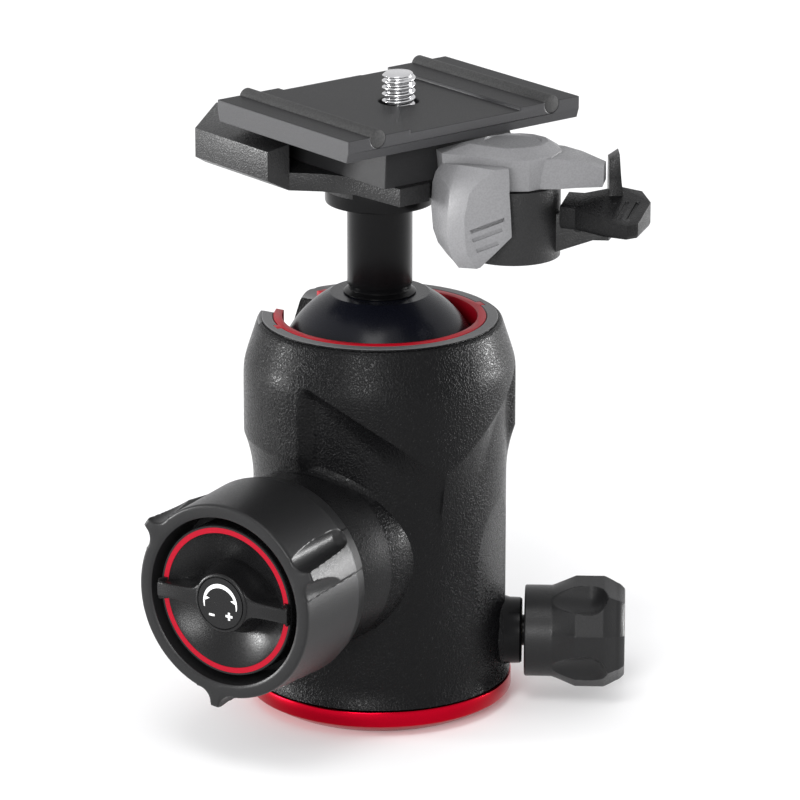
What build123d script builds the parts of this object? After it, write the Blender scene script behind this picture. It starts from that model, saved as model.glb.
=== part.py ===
from build123d import *
import os
from math import cos, radians, sin, sqrt

# Ball head for a tripod.  Millimetres, +Z up, origin in the middle of the base's
# underside.  The main knob points along -Y, the drop notch opens towards -X.

os.makedirs("parts", exist_ok=True)

# ---- driving dimensions -------------------------------------------------
SEAT_GAP = 0.05      # radial gap of a screw, pin or bush in its own hole
RUN_GAP = 0.3        # gap between pieces that move past each other
LIFT_GAP = 0.02      # gap under a piece that turns on a flat seat

# base
BASE_R = 25.5
BASE_FOOT_R = 21.8
BASE_H = 5.2
BASE_CHAMFER_H = 2.2
TRIPOD_THREAD_R = 4.7625      # three-eighths inch
BUSH_WALL = 2.75
BUSH_LENGTH = 15.5
BASE_SCREW_SETBACK = 0.3
HUB_R = 15.0
HUB_H = 14.4
BRAKE_GROOVE_DEPTH = 1.5
BRAKE_GROOVE_H = 7.6
HUB_SCREW_R = 1.5
HUB_SCREW_HEAD_R = 2.7
HUB_SCREW_HEAD_H = 2.2
HUB_SCREW_CIRCLE_R = 11.2
HUB_SCREW_LENGTH = 11.0
HUB_SCREWS = 3
RETAINER_R = 17.2
RETAINER_BORE_R = 7.6
RETAINER_T = 2.0
RETAINER_SCREW_LENGTH = 5.0
WASHER_OUTER_R = 21.0
WASHER_INNER_R = 17.0
WASHER_T = 1.0

# housing
BODY_R = 24.3
BODY_FOOT_R = 25.3
BODY_FOOT_H = 3.5
BARREL_R = 26.05
BARREL_Z0 = 54.0
BARREL_BLEND_H = 9.5
BARREL_Z1 = 67.5
RIM_R = 23.1
RIM_Z = 76.4
RIM_ROUND = 1.2
LOWER_CAVITY_R = 18.0
SPRING_LEDGE_Z = 39.2

# ball and its seats
BALL_R = 20.0
BALL_Z = 63.5
BALL_FLAT_R = 9.5
LINER_R = 20.25
LINER_MOUTH_R = 18.6
LINER_H = 8.4
LINER_KEY_W = 2.4
LINER_KEY_OUT = 1.0
LINER_KEY_H = 3.0
LINER_KEY_ANGLES = (-125.5, 54.5)
CUP_R = 19.9
CUP_H = 8.3
CUP_HOLE_R = 8.0
CUP_TOP_Z = 51.5
CARRIER_T = 2.5
CARRIER_CONE_R = 9.0
CARRIER_CONE_TIP_R = 4.0
CARRIER_CONE_H = 7.6
DISC_SPRING_T = 0.8
DISC_SPRING_INNER_R = 11.0
DISC_SPRING_OUTER_R = 19.0
NOTCH_ANGLE = 180.0
NOTCH_GAP = 0.8

# main knob, measured outwards from the ball's axis
KNOB_Z = 34.7
BOSS_BASE_R = 17.3
BOSS_END_R = 15.0
BOSS_BASE_D = 23.0
BOSS_END_D = 36.0
BOSS_LAND = 4.0               # straight stretch at the boss's end
PLUNGER_R = 4.2
PLUNGER_START_D = 4.0
PLUNGER_LIFT = 0.3            # gap between the plunger and the nut
NUT_R = 7.0
NUT_LENGTH = 8.5
CLAMP_SCREW_R = 4.0
CLAMP_SCREW_BORE_R = 2.6
CLAMP_SCREW_LIFT = 0.1        # the screw's end stands this far out from the nut's
KNOB_OVERLAP = 2.0            # the knob's skirt over the boss's end
KNOB_BACK_R = 19.4
KNOB_FRONT_R = 18.7
KNOB_SKIRT_GAP = 0.7
KNOB_TRAVEL = 4.0             # room in the skirt for the knob to be done up
KNOB_WEB_T = 4.0
DIAL_LIFT = 0.6               # gap between the knob's web and the dial
KNOB_CUP_R = 16.1
KNOB_BACK_LIP = 2.4
KNOB_EARS = 3
KNOB_EAR_ANGLE = 24.0
KNOB_EAR_R = 21.4
KNOB_EAR_W = 4.2
KNOB_EAR_SETBACK = 4.5
KNOB_LIP = 1.0                # rounding of the knob's front and back edges
KNOB_POCKET_R = 6.0
KNOB_POCKET_DEPTH = 1.4
KNOB_POCKET_SPREAD = 21.0     # degrees from the ear's middle to the pocket's
DIAL_R = 14.5
DIAL_T = 8.0
DIAL_SETBACK = 1.0
DISH_DEPTH = 4.6
DIAL_RIM_W = 0.5
RED_RING_W = 1.0
RED_RING_T = 0.8
WING_W = 3.0
DIAL_HUB_R = 6.0
DIAL_HUB_PROUD = 0.8          # how far the dial's hub stands out of the knob
LABEL_R = 4.9
LABEL_T = 0.3
STUD_R = 2.5
STUD_START = 3.0              # from the hollow screw's end to the stud's
STUD_GRIP = 4.0               # how far the stud goes into the dial
SPRING_SEAT = 2.0             # depth of the spring's seat in the dial
FRICTION_SPRING_R = 4.6
FRICTION_SPRING_WIRE_R = 0.5
FRICTION_SPRING_TURNS = 2

# pan knob, measured outwards from the ball's axis
PAN_ANGLE = 30.0
PAN_Z = 13.0
PAN_NECK_R = 6.4
PAN_NECK_END_D = 27.6
PAN_PAD_R = 3.5
PAN_PAD_LENGTH = 4.0
PAN_SCREW_R = 3.0
PAN_NUT_R = 4.5
PAN_NUT_LENGTH = 8.6
PAN_KNOB_LIFT = 0.5
PAN_KNOB_LENGTH = 19.4
PAN_COLLAR_R = 8.85
PAN_COLLAR_LENGTH = 5.5
PAN_LOBE_R = 10.5
PAN_LOBES = 4
PAN_KNOB_TURN = -14.0
PAN_SCOOP_R = 6.0
PAN_SCOOP_FLOOR_R = 8.1
PAN_SCOOP_END = 5.0
PAN_SCREW_GRIP = 8.0
SCOOP_PLANE_D = 22.9
SCOOP_BEND_R = 62.0
SCOOP_ANGLE = 12.0
SCOOP_MID_Z = 29.0

# stem
STEM_R = 6.2
STEM_GROOVE_R = 5.6
STEM_GROOVE_H = 1.2
SPIGOT_R = 5.0
SPIGOT_LENGTH = 11.0
FLANGE_R = 10.4
FLANGE_Z0 = 99.0
CASTING_Z0 = 104.0
KEY_W = 8.0
KEY_DEPTH = 2.4
STEM_BOLT_R = 3.0
STEM_BOLT_HEAD_R = 5.0
STEM_BOLT_HEAD_H = 2.2
STEM_BOLT_LENGTH = 16.0

# quick release clamp, drawn square to the plate and turned by HEAD_YAW
HEAD_YAW = -19.0
FLOOR_Z = 107.4
JAW_TOP_Z = 112.0
JAW_BACK_TOP_Z = 114.0
JAW_REACH = 14.0              # how far the fixed jaw stands out past the plate
JAW_CORNER_W = 6.8
JAW_CORNER_L = 10.0
JAW_GRIP = 15.5
JAW_FRONT_DEPTH = 4.6
JAW_UNDER_H = 2.4             # chamfer under the jaw's ends
JAW_UNDER_W = 4.5
JAW_TAPER = 0.6
JAW_LEDGE_H = 3.0
WAIST_HALF = 14.0
WAIST_STEPS = (0.6, 5.0, 11.0)
WAIST_DIPS = (4.6, 1.2)
FLOOR_SETBACK = 2.0
FLOOR_STEP_L = 7.0
PLATE_X = 2.3
PLATE_Y = 2.7
PLATE_W = 40.0
PLATE_L = 55.0
PLATE_TOP_Z = 119.0
PLATE_T = 4.2
PLATE_SIDE_H = 2.3
PLATE_UNDERCUT = 0.6
PLATE_BAND_W = 14.4
PLATE_RECESS = 0.6
FOOT_HALF_W = 16.6
FOOT_HALF_L = 16.4
FOOT_FLARE = 2.0
STRIP_W = 3.4
STRIP_INSET = 6.8
STRIP_DEPTH = 2.2
STRIP_PROUD = 0.4
CAMERA_THREAD_R = 3.175       # quarter inch
CAMERA_SCREW_STANDS = 5.0
CAMERA_SCREW_NECK_R = 2.6
CAMERA_HOLE_R = 3.85
SCREW_HEAD_R = 6.5
SCREW_HEAD_T = 2.4
SCREW_POCKET_R = 7.5
SCREW_POCKET_H = 4.4
SCREW_HEAD_LIFT = 0.6
COIN_SLOT_W = 1.6
COIN_SLOT_DEPTH = 1.2
CLIP_T = 0.8

# clamp lever and its catch, about the lever's upright axis
LEVER_X = 26.5
LEVER_Y = 10.5
LEVER_BOSS_R = 9.0
LEVER_BOSS_Z0 = 92.8
LEVER_BOSS_Z1 = 106.6
LEVER_Z0 = 106.9
LEVER_Z1 = 114.5
LEVER_CROWN_H = 2.2
LEVER_HUB_R = 8.9
LEVER_BACK_R = 7.3
ARM_REACH = 17.2
ARM_ANGLE = 42.6
ARM_HALF_W = 3.0
ARM_TOP_Z = 110.6
HANDLE_Z0 = 93.0
LEVER_CORNER = 12.0           # the hub's front left corner, from the axis
CROWN_FOOT = 1.0
CROWN_TOP = 0.74
CROWN_DISC_R = 5.4
CROWN_DISC_DEPTH = 0.5
TAB_PLAN = ((9.9, -6.6), (4.6, -14.2), (-6.4, -13.8), (-5.0, -6.0))
TAB_FACING = -38.0
TAB_PLAN_W = 4.0
TAB_CORNER_S = -4.0
TAB_CORNER_H = 5.0
TAB_ROOT_H = 4.0
TAB_GAP = 0.6
LEVER_SCREW_COVER = 3.0
LEVER_BUSH_WALL = 1.0
LEVER_SCREW_R = 3.0
LEVER_SCREW_HEAD_R = 5.0
LEVER_SCREW_HEAD_H = 2.2
LEVER_SPRING_R = 6.0
LEVER_SPRING_WIRE_R = 0.6
LEVER_SPRING_H = 5.0
LEVER_SPRING_TURNS = 3
LEVER_BUSH_SETBACK = 2.8
CATCH_ANGLE = 34.0
CATCH_TOP_Z = 103.5
CATCH_T = 4.2
CATCH_ROOF_T = 1.8
CATCH_START = 10.0
CATCH_END = 25.6
CATCH_ROOT_HALF_W = 3.2
CATCH_HALF_W = 7.3
WEB_HALF_W = 1.5
CATCH_PIN_R = 1.1
CATCH_PIN_OUT = 13.5
CATCH_PIN_Z = 99.9
FIN_T = 2.4
FIN_W = 5.0
FIN_TOP_Z = 112.2
FIN_ANGLE = 53.4
CATCH_SPRING_R = 1.1
CATCH_SPRING_WIRE_R = 0.3
CATCH_SPRING_OUT = 17.4
CATCH_SPRING_FREE = 0.9       # room over the spring for the pressed catch
WEB_TOP_Z = 98.4
WEB_FOOT_RISE = 0.6
WEB_LIP_OUT = 2.5
WEB_LIP_Z = 97.0
WEB_REACH = 5.5
WEB_TIP_Z = 97.2
WEB_STEP_OUT = 2.0
WEB_STEP_Z = 100.4
WEB_PIN_WALL = 1.5
WEB_SINK = 2.0
STRUT_HALF_W = 6.5
STRUT_DROP = 4.0
STRUT_SET_DOWN = 0.9
STRUT_SINK = 2.0
STRUT_START = 11.0

# ---- sizes worked out from them ----------------------------------------
BALL_SEAT_R = BALL_R + RUN_GAP
BALL_FLAT_Z = BALL_Z + sqrt(BALL_R**2 - BALL_FLAT_R**2)
HOUSING_BORE_R = LINER_R + SEAT_GAP
HOUSING_Z0 = BASE_H + RUN_GAP
HUB_TOP_Z = BASE_H + HUB_H
LEDGE_Z = HUB_TOP_Z - RUN_GAP
BUSH_R = TRIPOD_THREAD_R + BUSH_WALL
CUP_Z0 = CUP_TOP_Z - CUP_H
CARRIER_TOP_Z = CUP_Z0 - LIFT_GAP
CARRIER_Z0 = CARRIER_TOP_Z - CARRIER_T
NUT_START_D = BOSS_END_D - NUT_LENGTH
PLUNGER_END_D = NUT_START_D - PLUNGER_LIFT
CLAMP_SCREW_START_D = NUT_START_D + CLAMP_SCREW_LIFT
KNOB_BACK_D = BOSS_END_D - KNOB_OVERLAP
KNOB_WEB_D0 = BOSS_END_D + KNOB_TRAVEL
KNOB_WEB_D1 = KNOB_WEB_D0 + KNOB_WEB_T
DIAL_BACK_D = KNOB_WEB_D1 + DIAL_LIFT
DIAL_FRONT_D = DIAL_BACK_D + DIAL_T
KNOB_FRONT_D = DIAL_FRONT_D + DIAL_SETBACK
KNOB_EAR_BACK_D = KNOB_BACK_D + KNOB_EAR_SETBACK
DIAL_HUB_END_D = KNOB_FRONT_D + DIAL_HUB_PROUD
WING_FRONT_D = DIAL_HUB_END_D - LABEL_T
PAN_PAD_START_D = HUB_R - BRAKE_GROOVE_DEPTH + RUN_GAP
PAN_PAD_END_D = PAN_PAD_START_D + PAN_PAD_LENGTH
PAN_NUT_START_D = PAN_NECK_END_D - PAN_NUT_LENGTH
PAN_KNOB_START_D = PAN_NECK_END_D + PAN_KNOB_LIFT
PAN_KNOB_END_D = PAN_KNOB_START_D + PAN_KNOB_LENGTH
PLATE_BOTTOM_Z = PLATE_TOP_Z - PLATE_T
NOTCH_R = STEM_R + NOTCH_GAP
LEVER_BUSH_R = LEVER_SCREW_R + SEAT_GAP + LEVER_BUSH_WALL
CATCH_Z0 = CATCH_TOP_Z - CATCH_T
LEVER_BUSH_Z0 = LEVER_BOSS_Z0 + LEVER_BUSH_SETBACK
LEVER_SPRING_Z0 = LEVER_BOSS_Z1 - LEVER_SPRING_H - RUN_GAP
FIN_START = ARM_REACH + 0.6

# ---- frames -------------------------------------------------------------
KNOB_FRAME = Location((0, 0, KNOB_Z), (90, 0, 0))
PAN_FRAME = Plane(
    origin=(0, 0, PAN_Z),
    x_dir=(-sin(radians(PAN_ANGLE)), cos(radians(PAN_ANGLE)), 0),
    z_dir=(cos(radians(PAN_ANGLE)), sin(radians(PAN_ANGLE)), 0),
).location
HEAD_FRAME = Location((0, 0, 0), (0, 0, HEAD_YAW))
LEVER_FRAME = HEAD_FRAME * Location((LEVER_X, LEVER_Y, 0))
CATCH_FRAME = LEVER_FRAME * Location((0, 0, 0), (0, 0, CATCH_ANGLE))


# ---- helpers ------------------------------------------------------------
def turned(*points):
    """A solid turned about Z from (radius, height) points."""
    outline = [(r, 0, z) for r, z in points]
    return revolve(make_face(Polyline(*outline, close=True)), Axis.Z)


def rod(radius, low, high):
    return Pos(0, 0, low) * Cylinder(radius, high - low, align=(Align.CENTER, Align.CENTER, Align.MIN))


def tube(outer, inner, low, high):
    return rod(outer, low, high) - rod(inner, low - 1, high + 1)


def slab(x0, x1, y0, y1, z0, z1):
    size = (x1 - x0, y1 - y0, z1 - z0)
    return Pos((x0 + x1) / 2, (y0 + y1) / 2, (z0 + z1) / 2) * Box(*size)


def prism(points, low, high):
    """An upright prism over a closed outline of (x, y) points."""
    face = make_face(Polyline(*[(x, y, low) for x, y in points], close=True))
    return extrude(face, high - low, dir=(0, 0, 1))


def ring_of(shape, count, first=0.0):
    """Copies of a shape, evenly spaced about Z."""
    return [Rot(0, 0, first + 360 * i / count) * shape for i in range(count)]


def polar(radius, degrees):
    return (radius * cos(radians(degrees)), radius * sin(radians(degrees)))


def coil(radius, wire, height, turns, low):
    """A helical spring of round wire that stands on the height low."""
    length = height - 2 * wire
    path = Pos(0, 0, low + wire) * Helix(length / turns, length, radius)
    section = Plane(origin=path @ 0, z_dir=path % 0) * Circle(wire)
    return sweep(section, path=path)


def save(shape, node):
    """Write one named node."""
    shapes = list(shape) if isinstance(shape, (list, ShapeList)) else [shape]
    whole = Compound(children=[s for one in shapes for s in one.solids()])
    solids = whole.solids()
    export_step(solids[0] if len(solids) == 1 else whole, f"parts/{node}.step")


# ---- base ---------------------------------------------------------------
def hub_screw_hole(low, high):
    return Pos(HUB_SCREW_CIRCLE_R, 0, 0) * rod(HUB_SCREW_R + SEAT_GAP, low, high)


def hub_screw_seat(low, high):
    return Pos(HUB_SCREW_CIRCLE_R, 0, 0) * rod(HUB_SCREW_HEAD_R + SEAT_GAP, low, high)


def base_disc():
    disc = turned(
        (0, 0), (BASE_FOOT_R, 0), (BASE_R, BASE_CHAMFER_H), (BASE_R, BASE_H), (0, BASE_H)
    )
    disc -= rod(BUSH_R + SEAT_GAP, -1, BASE_H + 1)
    for hole in ring_of(hub_screw_hole(-1, BASE_H + 1), HUB_SCREWS):
        disc -= hole
    for seat in ring_of(hub_screw_seat(-1, HUB_SCREW_HEAD_H + BASE_SCREW_SETBACK), HUB_SCREWS):
        disc -= seat
    return disc


def pan_hub():
    """The spigot that the housing turns on, with the pan brake's groove."""
    groove_r = HUB_R - BRAKE_GROOVE_DEPTH
    groove_z0 = PAN_Z - BRAKE_GROOVE_H / 2
    groove_z1 = PAN_Z + BRAKE_GROOVE_H / 2
    hub = turned(
        (0, BASE_H), (HUB_R, BASE_H), (HUB_R, groove_z0), (groove_r, groove_z0),
        (groove_r, groove_z1), (HUB_R, groove_z1), (HUB_R, HUB_TOP_Z), (0, HUB_TOP_Z),
    )
    hub -= rod(BUSH_R + SEAT_GAP, BASE_H - 1, BUSH_LENGTH + SEAT_GAP)
    low_screw_top = HUB_SCREW_LENGTH + 2 * BASE_SCREW_SETBACK
    for hole in ring_of(hub_screw_hole(BASE_H - 1, low_screw_top), HUB_SCREWS):
        hub -= hole
    high_screw_foot = HUB_TOP_Z + RETAINER_T - RETAINER_SCREW_LENGTH - SEAT_GAP
    upper = hub_screw_hole(high_screw_foot, HUB_TOP_Z + 1)
    for hole in ring_of(upper, HUB_SCREWS, 180 / HUB_SCREWS):
        hub -= hole
    return hub


def thread_bush():
    return tube(BUSH_R, TRIPOD_THREAD_R, 0, BUSH_LENGTH)


def base_screws():
    head_top = BASE_SCREW_SETBACK + HUB_SCREW_HEAD_H
    screw = rod(HUB_SCREW_HEAD_R, BASE_SCREW_SETBACK, head_top)
    screw += rod(HUB_SCREW_R, BASE_SCREW_SETBACK, BASE_SCREW_SETBACK + HUB_SCREW_LENGTH)
    screw -= extrude(RegularPolygon(HUB_SCREW_R * 0.8, 6), head_top - 0.6)
    return ring_of(Pos(HUB_SCREW_CIRCLE_R, 0, 0) * screw, HUB_SCREWS)


def pan_retainer():
    """The ring on top of the hub that keeps the housing down."""
    ring = tube(RETAINER_R, RETAINER_BORE_R, HUB_TOP_Z, HUB_TOP_Z + RETAINER_T)
    hole = hub_screw_hole(HUB_TOP_Z - 1, HUB_TOP_Z + RETAINER_T + 1)
    for one in ring_of(hole, HUB_SCREWS, 180 / HUB_SCREWS):
        ring -= one
    return ring


def retainer_screws():
    seat = HUB_TOP_Z + RETAINER_T
    screw = rod(HUB_SCREW_HEAD_R, seat, seat + HUB_SCREW_HEAD_H)
    screw += rod(HUB_SCREW_R, seat - RETAINER_SCREW_LENGTH, seat)
    socket = Pos(0, 0, seat + 0.8) * RegularPolygon(HUB_SCREW_R * 0.8, 6)
    screw -= extrude(socket, HUB_SCREW_HEAD_H)
    return ring_of(Pos(HUB_SCREW_CIRCLE_R, 0, 0) * screw, HUB_SCREWS, 180 / HUB_SCREWS)


def pan_washer():
    return tube(WASHER_OUTER_R, WASHER_INNER_R, BASE_H, BASE_H + WASHER_T - LIFT_GAP)


# ---- housing ------------------------------------------------------------
def notch(extra=0.0):
    """The slot that lets the stem lie down flat, widened by extra."""
    radius = NOTCH_R + extra
    reach = BARREL_R + 5
    slot = Pos(0, 0, BALL_Z) * Rot(0, 90, 0) * Cylinder(
        radius, reach, align=(Align.CENTER, Align.CENTER, Align.MIN)
    )
    slot += slab(0, reach, -radius, radius, BALL_Z, RIM_Z + 5)
    return Rot(0, 0, NOTCH_ANGLE) * slot


def liner_key(extra=0.0):
    out = LINER_R + LINER_KEY_OUT + extra
    half = LINER_KEY_W / 2 + extra
    return slab(LINER_MOUTH_R + 0.8, out, -half, half, RIM_Z - LINER_KEY_H - extra, RIM_Z)


def housing():
    body = turned(
        (0, HOUSING_Z0),
        (BODY_FOOT_R, HOUSING_Z0),
        (BODY_R, HOUSING_Z0 + BODY_FOOT_H),
        (BODY_R, BARREL_Z0 - BARREL_BLEND_H),
        (BARREL_R, BARREL_Z0),
        (BARREL_R, BARREL_Z1),
        (RIM_R + RIM_ROUND * 0.45, RIM_Z - RIM_ROUND),
        (RIM_R - RIM_ROUND * 0.45, RIM_Z),
        (0, RIM_Z),
    )
    # the shallow hollow above the pan knob
    scoop = Pos(SCOOP_PLANE_D + SCOOP_BEND_R, 0, SCOOP_MID_Z) * Rot(90, 0, 0)
    body -= Rot(0, 0, SCOOP_ANGLE) * scoop * Cylinder(SCOOP_BEND_R, 4 * BODY_R)
    body += KNOB_FRAME * turned(
        (0, LOWER_CAVITY_R), (BOSS_BASE_R, LOWER_CAVITY_R), (BOSS_BASE_R, BOSS_BASE_D),
        (BOSS_END_R, BOSS_END_D - BOSS_LAND), (BOSS_END_R, BOSS_END_D), (0, BOSS_END_D),
    )
    body += PAN_FRAME * rod(PAN_NECK_R, LOWER_CAVITY_R, PAN_NECK_END_D)
    # bores
    body -= rod(HUB_R + RUN_GAP, HOUSING_Z0 - 1, LEDGE_Z + 1)
    body -= tube(
        WASHER_OUTER_R + RUN_GAP, WASHER_INNER_R - RUN_GAP, HOUSING_Z0 - 1, BASE_H + WASHER_T
    )
    body -= rod(LOWER_CAVITY_R, LEDGE_Z, SPRING_LEDGE_Z + 1)
    body -= rod(HOUSING_BORE_R, SPRING_LEDGE_Z, RIM_Z + 1)
    body -= KNOB_FRAME * rod(PLUNGER_R + SEAT_GAP, 0, NUT_START_D + 1)
    body -= KNOB_FRAME * rod(NUT_R + SEAT_GAP, NUT_START_D, BOSS_END_D + 1)
    body -= PAN_FRAME * rod(PAN_PAD_R + SEAT_GAP, 0, PAN_NUT_START_D + 1)
    body -= PAN_FRAME * rod(PAN_NUT_R + SEAT_GAP, PAN_NUT_START_D, PAN_NECK_END_D + 1)
    body -= notch(SEAT_GAP)
    for angle in LINER_KEY_ANGLES:
        body -= Rot(0, 0, angle) * liner_key(SEAT_GAP)
    return body


def liner_ring():
    """The polymer ring that the ball bears up against."""
    z0 = RIM_Z - LINER_H
    ring = tube(LINER_R, LINER_MOUTH_R, z0, RIM_Z)
    for angle in LINER_KEY_ANGLES:
        ring += Rot(0, 0, angle) * liner_key()
    ring -= Pos(0, 0, BALL_Z) * Sphere(BALL_SEAT_R)
    ring -= notch()
    return ring


def ball_cup():
    cup = tube(CUP_R, CUP_HOLE_R, CUP_Z0, CUP_TOP_Z)
    return cup - Pos(0, 0, BALL_Z) * Sphere(BALL_SEAT_R)


def carrier_cone(extra=0.0):
    foot = CARRIER_Z0 - CARRIER_CONE_H
    return turned(
        (0, foot), (CARRIER_CONE_TIP_R + extra, foot),
        (CARRIER_CONE_R + extra, CARRIER_Z0), (0, CARRIER_Z0),
    )


def cup_carrier():
    """The steel plate under the cup; its cone rides up the plunger's tip."""
    return rod(CUP_R, CARRIER_Z0, CARRIER_TOP_Z) + carrier_cone()


def disc_spring():
    top = CARRIER_Z0 - LIFT_GAP
    foot = SPRING_LEDGE_Z
    return turned(
        (DISC_SPRING_INNER_R, top - DISC_SPRING_T), (DISC_SPRING_OUTER_R, foot),
        (DISC_SPRING_OUTER_R, foot + DISC_SPRING_T), (DISC_SPRING_INNER_R, top),
    )


def wedge_plunger():
    plunger = KNOB_FRAME * rod(PLUNGER_R, PLUNGER_START_D, PLUNGER_END_D)
    foot = CARRIER_Z0 - CARRIER_CONE_H
    below = rod(CARRIER_CONE_TIP_R, foot - 2 * PLUNGER_R, foot)
    return plunger - carrier_cone(SEAT_GAP) - below


def clamp_nut():
    inner = CLAMP_SCREW_R + SEAT_GAP
    return KNOB_FRAME * tube(NUT_R, inner, NUT_START_D, BOSS_END_D)


def pan_nut():
    inner = PAN_SCREW_R + SEAT_GAP
    return PAN_FRAME * tube(PAN_NUT_R, inner, PAN_NUT_START_D, PAN_NECK_END_D)


def pan_brake_pad():
    return PAN_FRAME * rod(PAN_PAD_R, PAN_PAD_START_D, PAN_PAD_END_D)


# ---- main knob ----------------------------------------------------------
def main_knob():
    ear_side = KNOB_EAR_W / 2
    ear_root = KNOB_CUP_R + KNOB_LIP
    barrel = turned(
        (0, KNOB_BACK_D), (KNOB_BACK_R - KNOB_BACK_LIP, KNOB_BACK_D),
        (KNOB_BACK_R, KNOB_BACK_D + KNOB_BACK_LIP), (KNOB_FRONT_R, KNOB_FRONT_D - KNOB_LIP),
        (KNOB_FRONT_R - KNOB_LIP, KNOB_FRONT_D), (0, KNOB_FRONT_D),
    )
    ear = extrude(
        make_face(Polyline(
            (ear_root, -ear_side, KNOB_EAR_BACK_D), (KNOB_FRONT_R, -ear_side, KNOB_EAR_BACK_D),
            (KNOB_EAR_R, -ear_side, KNOB_FRONT_D - 4 * KNOB_LIP),
            (KNOB_EAR_R, -ear_side, KNOB_FRONT_D - KNOB_LIP),
            (KNOB_EAR_R - KNOB_LIP, -ear_side, KNOB_FRONT_D), (ear_root, -ear_side, KNOB_FRONT_D),
            close=True,
        )),
        KNOB_EAR_W, dir=(0, 1, 0),
    )
    pocket_r = KNOB_BACK_R + KNOB_POCKET_R - KNOB_POCKET_DEPTH
    pocket_length = KNOB_FRONT_D - KNOB_EAR_BACK_D
    pocket = Pos(pocket_r, 0, KNOB_EAR_BACK_D) * Cylinder(
        KNOB_POCKET_R, pocket_length + 1, align=(Align.CENTER, Align.CENTER, Align.MIN)
    )
    for ear_angle in [KNOB_EAR_ANGLE + 360 * i / KNOB_EARS for i in range(KNOB_EARS)]:
        for side in (-1, 1):
            barrel -= Rot(0, 0, ear_angle + side * KNOB_POCKET_SPREAD) * pocket
    for one in ring_of(ear, KNOB_EARS, KNOB_EAR_ANGLE):
        barrel += one
    barrel -= rod(BOSS_END_R + KNOB_SKIRT_GAP, KNOB_BACK_D - 1, KNOB_WEB_D0)
    barrel -= rod(KNOB_CUP_R, KNOB_WEB_D1, KNOB_FRONT_D + 1)
    barrel -= rod(CLAMP_SCREW_R + SEAT_GAP, KNOB_WEB_D0 - 1, KNOB_WEB_D1 + 1)
    return KNOB_FRAME * barrel


def clamp_screw():
    return KNOB_FRAME * tube(CLAMP_SCREW_R, CLAMP_SCREW_BORE_R, CLAMP_SCREW_START_D, KNOB_WEB_D1)


def friction_spring():
    return KNOB_FRAME * coil(
        FRICTION_SPRING_R, FRICTION_SPRING_WIRE_R,
        DIAL_BACK_D + SPRING_SEAT - KNOB_WEB_D1, FRICTION_SPRING_TURNS, KNOB_WEB_D1,
    )


def friction_dial():
    """The dished dial with its wing bar, inside the main knob's cup."""
    dish_r = DIAL_R - DIAL_RIM_W - RED_RING_W
    ball_r = (dish_r**2 + DISH_DEPTH**2) / (2 * DISH_DEPTH)
    dial = rod(DIAL_R, DIAL_BACK_D, DIAL_FRONT_D)
    dial -= Pos(0, 0, DIAL_FRONT_D + ball_r - DISH_DEPTH) * Sphere(ball_r)
    hub = rod(DIAL_HUB_R, DIAL_FRONT_D - DISH_DEPTH - 0.5, WING_FRONT_D)
    half = WING_W / 2
    wing = prism(
        [(-DIAL_R, -half * 0.7), (-DIAL_HUB_R, -half), (DIAL_HUB_R, -half), (DIAL_R, -half * 0.7),
         (DIAL_R, half * 0.7), (DIAL_HUB_R, half), (-DIAL_HUB_R, half), (-DIAL_R, half * 0.7)],
        DIAL_FRONT_D - DISH_DEPTH, WING_FRONT_D,
    )
    wing &= rod(DIAL_R, DIAL_BACK_D, WING_FRONT_D)
    dial += wing + hub
    dial -= red_ring_space()
    spring_room = FRICTION_SPRING_R + 2 * FRICTION_SPRING_WIRE_R
    dial -= rod(spring_room, DIAL_BACK_D - 1, DIAL_BACK_D + SPRING_SEAT)
    dial -= rod(STUD_R + SEAT_GAP, DIAL_BACK_D, DIAL_BACK_D + STUD_GRIP)
    return KNOB_FRAME * dial


def red_ring_space(extra=0.0):
    outer = DIAL_R - DIAL_RIM_W
    ring = tube(outer, outer - RED_RING_W, DIAL_FRONT_D - RED_RING_T, DIAL_FRONT_D + extra)
    half = WING_W * 0.35 + SEAT_GAP
    return ring - slab(-DIAL_R, DIAL_R, -half, half, DIAL_BACK_D, WING_FRONT_D)


def dial_ring():
    return KNOB_FRAME * red_ring_space()


def dial_label():
    return KNOB_FRAME * rod(LABEL_R, WING_FRONT_D, DIAL_HUB_END_D)


def friction_stud():
    end = DIAL_BACK_D + STUD_GRIP - SEAT_GAP
    return KNOB_FRAME * rod(STUD_R, CLAMP_SCREW_START_D + STUD_START, end)


# ---- pan knob -----------------------------------------------------------
def pan_knob():
    lobe_start = PAN_KNOB_START_D + PAN_COLLAR_LENGTH
    body = turned(
        (0, PAN_KNOB_START_D), (PAN_COLLAR_R, PAN_KNOB_START_D), (PAN_COLLAR_R, lobe_start),
        (PAN_LOBE_R, lobe_start + 4), (PAN_LOBE_R, PAN_KNOB_END_D - 4),
        (PAN_LOBE_R - 1.2, PAN_KNOB_END_D - 1.6), (PAN_LOBE_R - 3.5, PAN_KNOB_END_D),
        (0, PAN_KNOB_END_D),
    )
    centre = PAN_SCOOP_FLOOR_R + PAN_SCOOP_R
    end = PAN_KNOB_END_D - PAN_SCOOP_END
    scoop = rod(PAN_SCOOP_R, lobe_start, end) + Pos(0, 0, end) * Sphere(PAN_SCOOP_R * 0.98)
    for one in ring_of(Pos(centre, 0, 0) * scoop, PAN_LOBES, PAN_KNOB_TURN + 180 / PAN_LOBES):
        body -= one
    body -= rod(PAN_SCREW_R + SEAT_GAP, PAN_KNOB_START_D - 1, PAN_KNOB_START_D + PAN_SCREW_GRIP)
    return PAN_FRAME * body


def pan_screw():
    start = PAN_PAD_END_D + RUN_GAP
    return PAN_FRAME * rod(PAN_SCREW_R, start, PAN_KNOB_START_D + PAN_SCREW_GRIP - SEAT_GAP)


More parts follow.
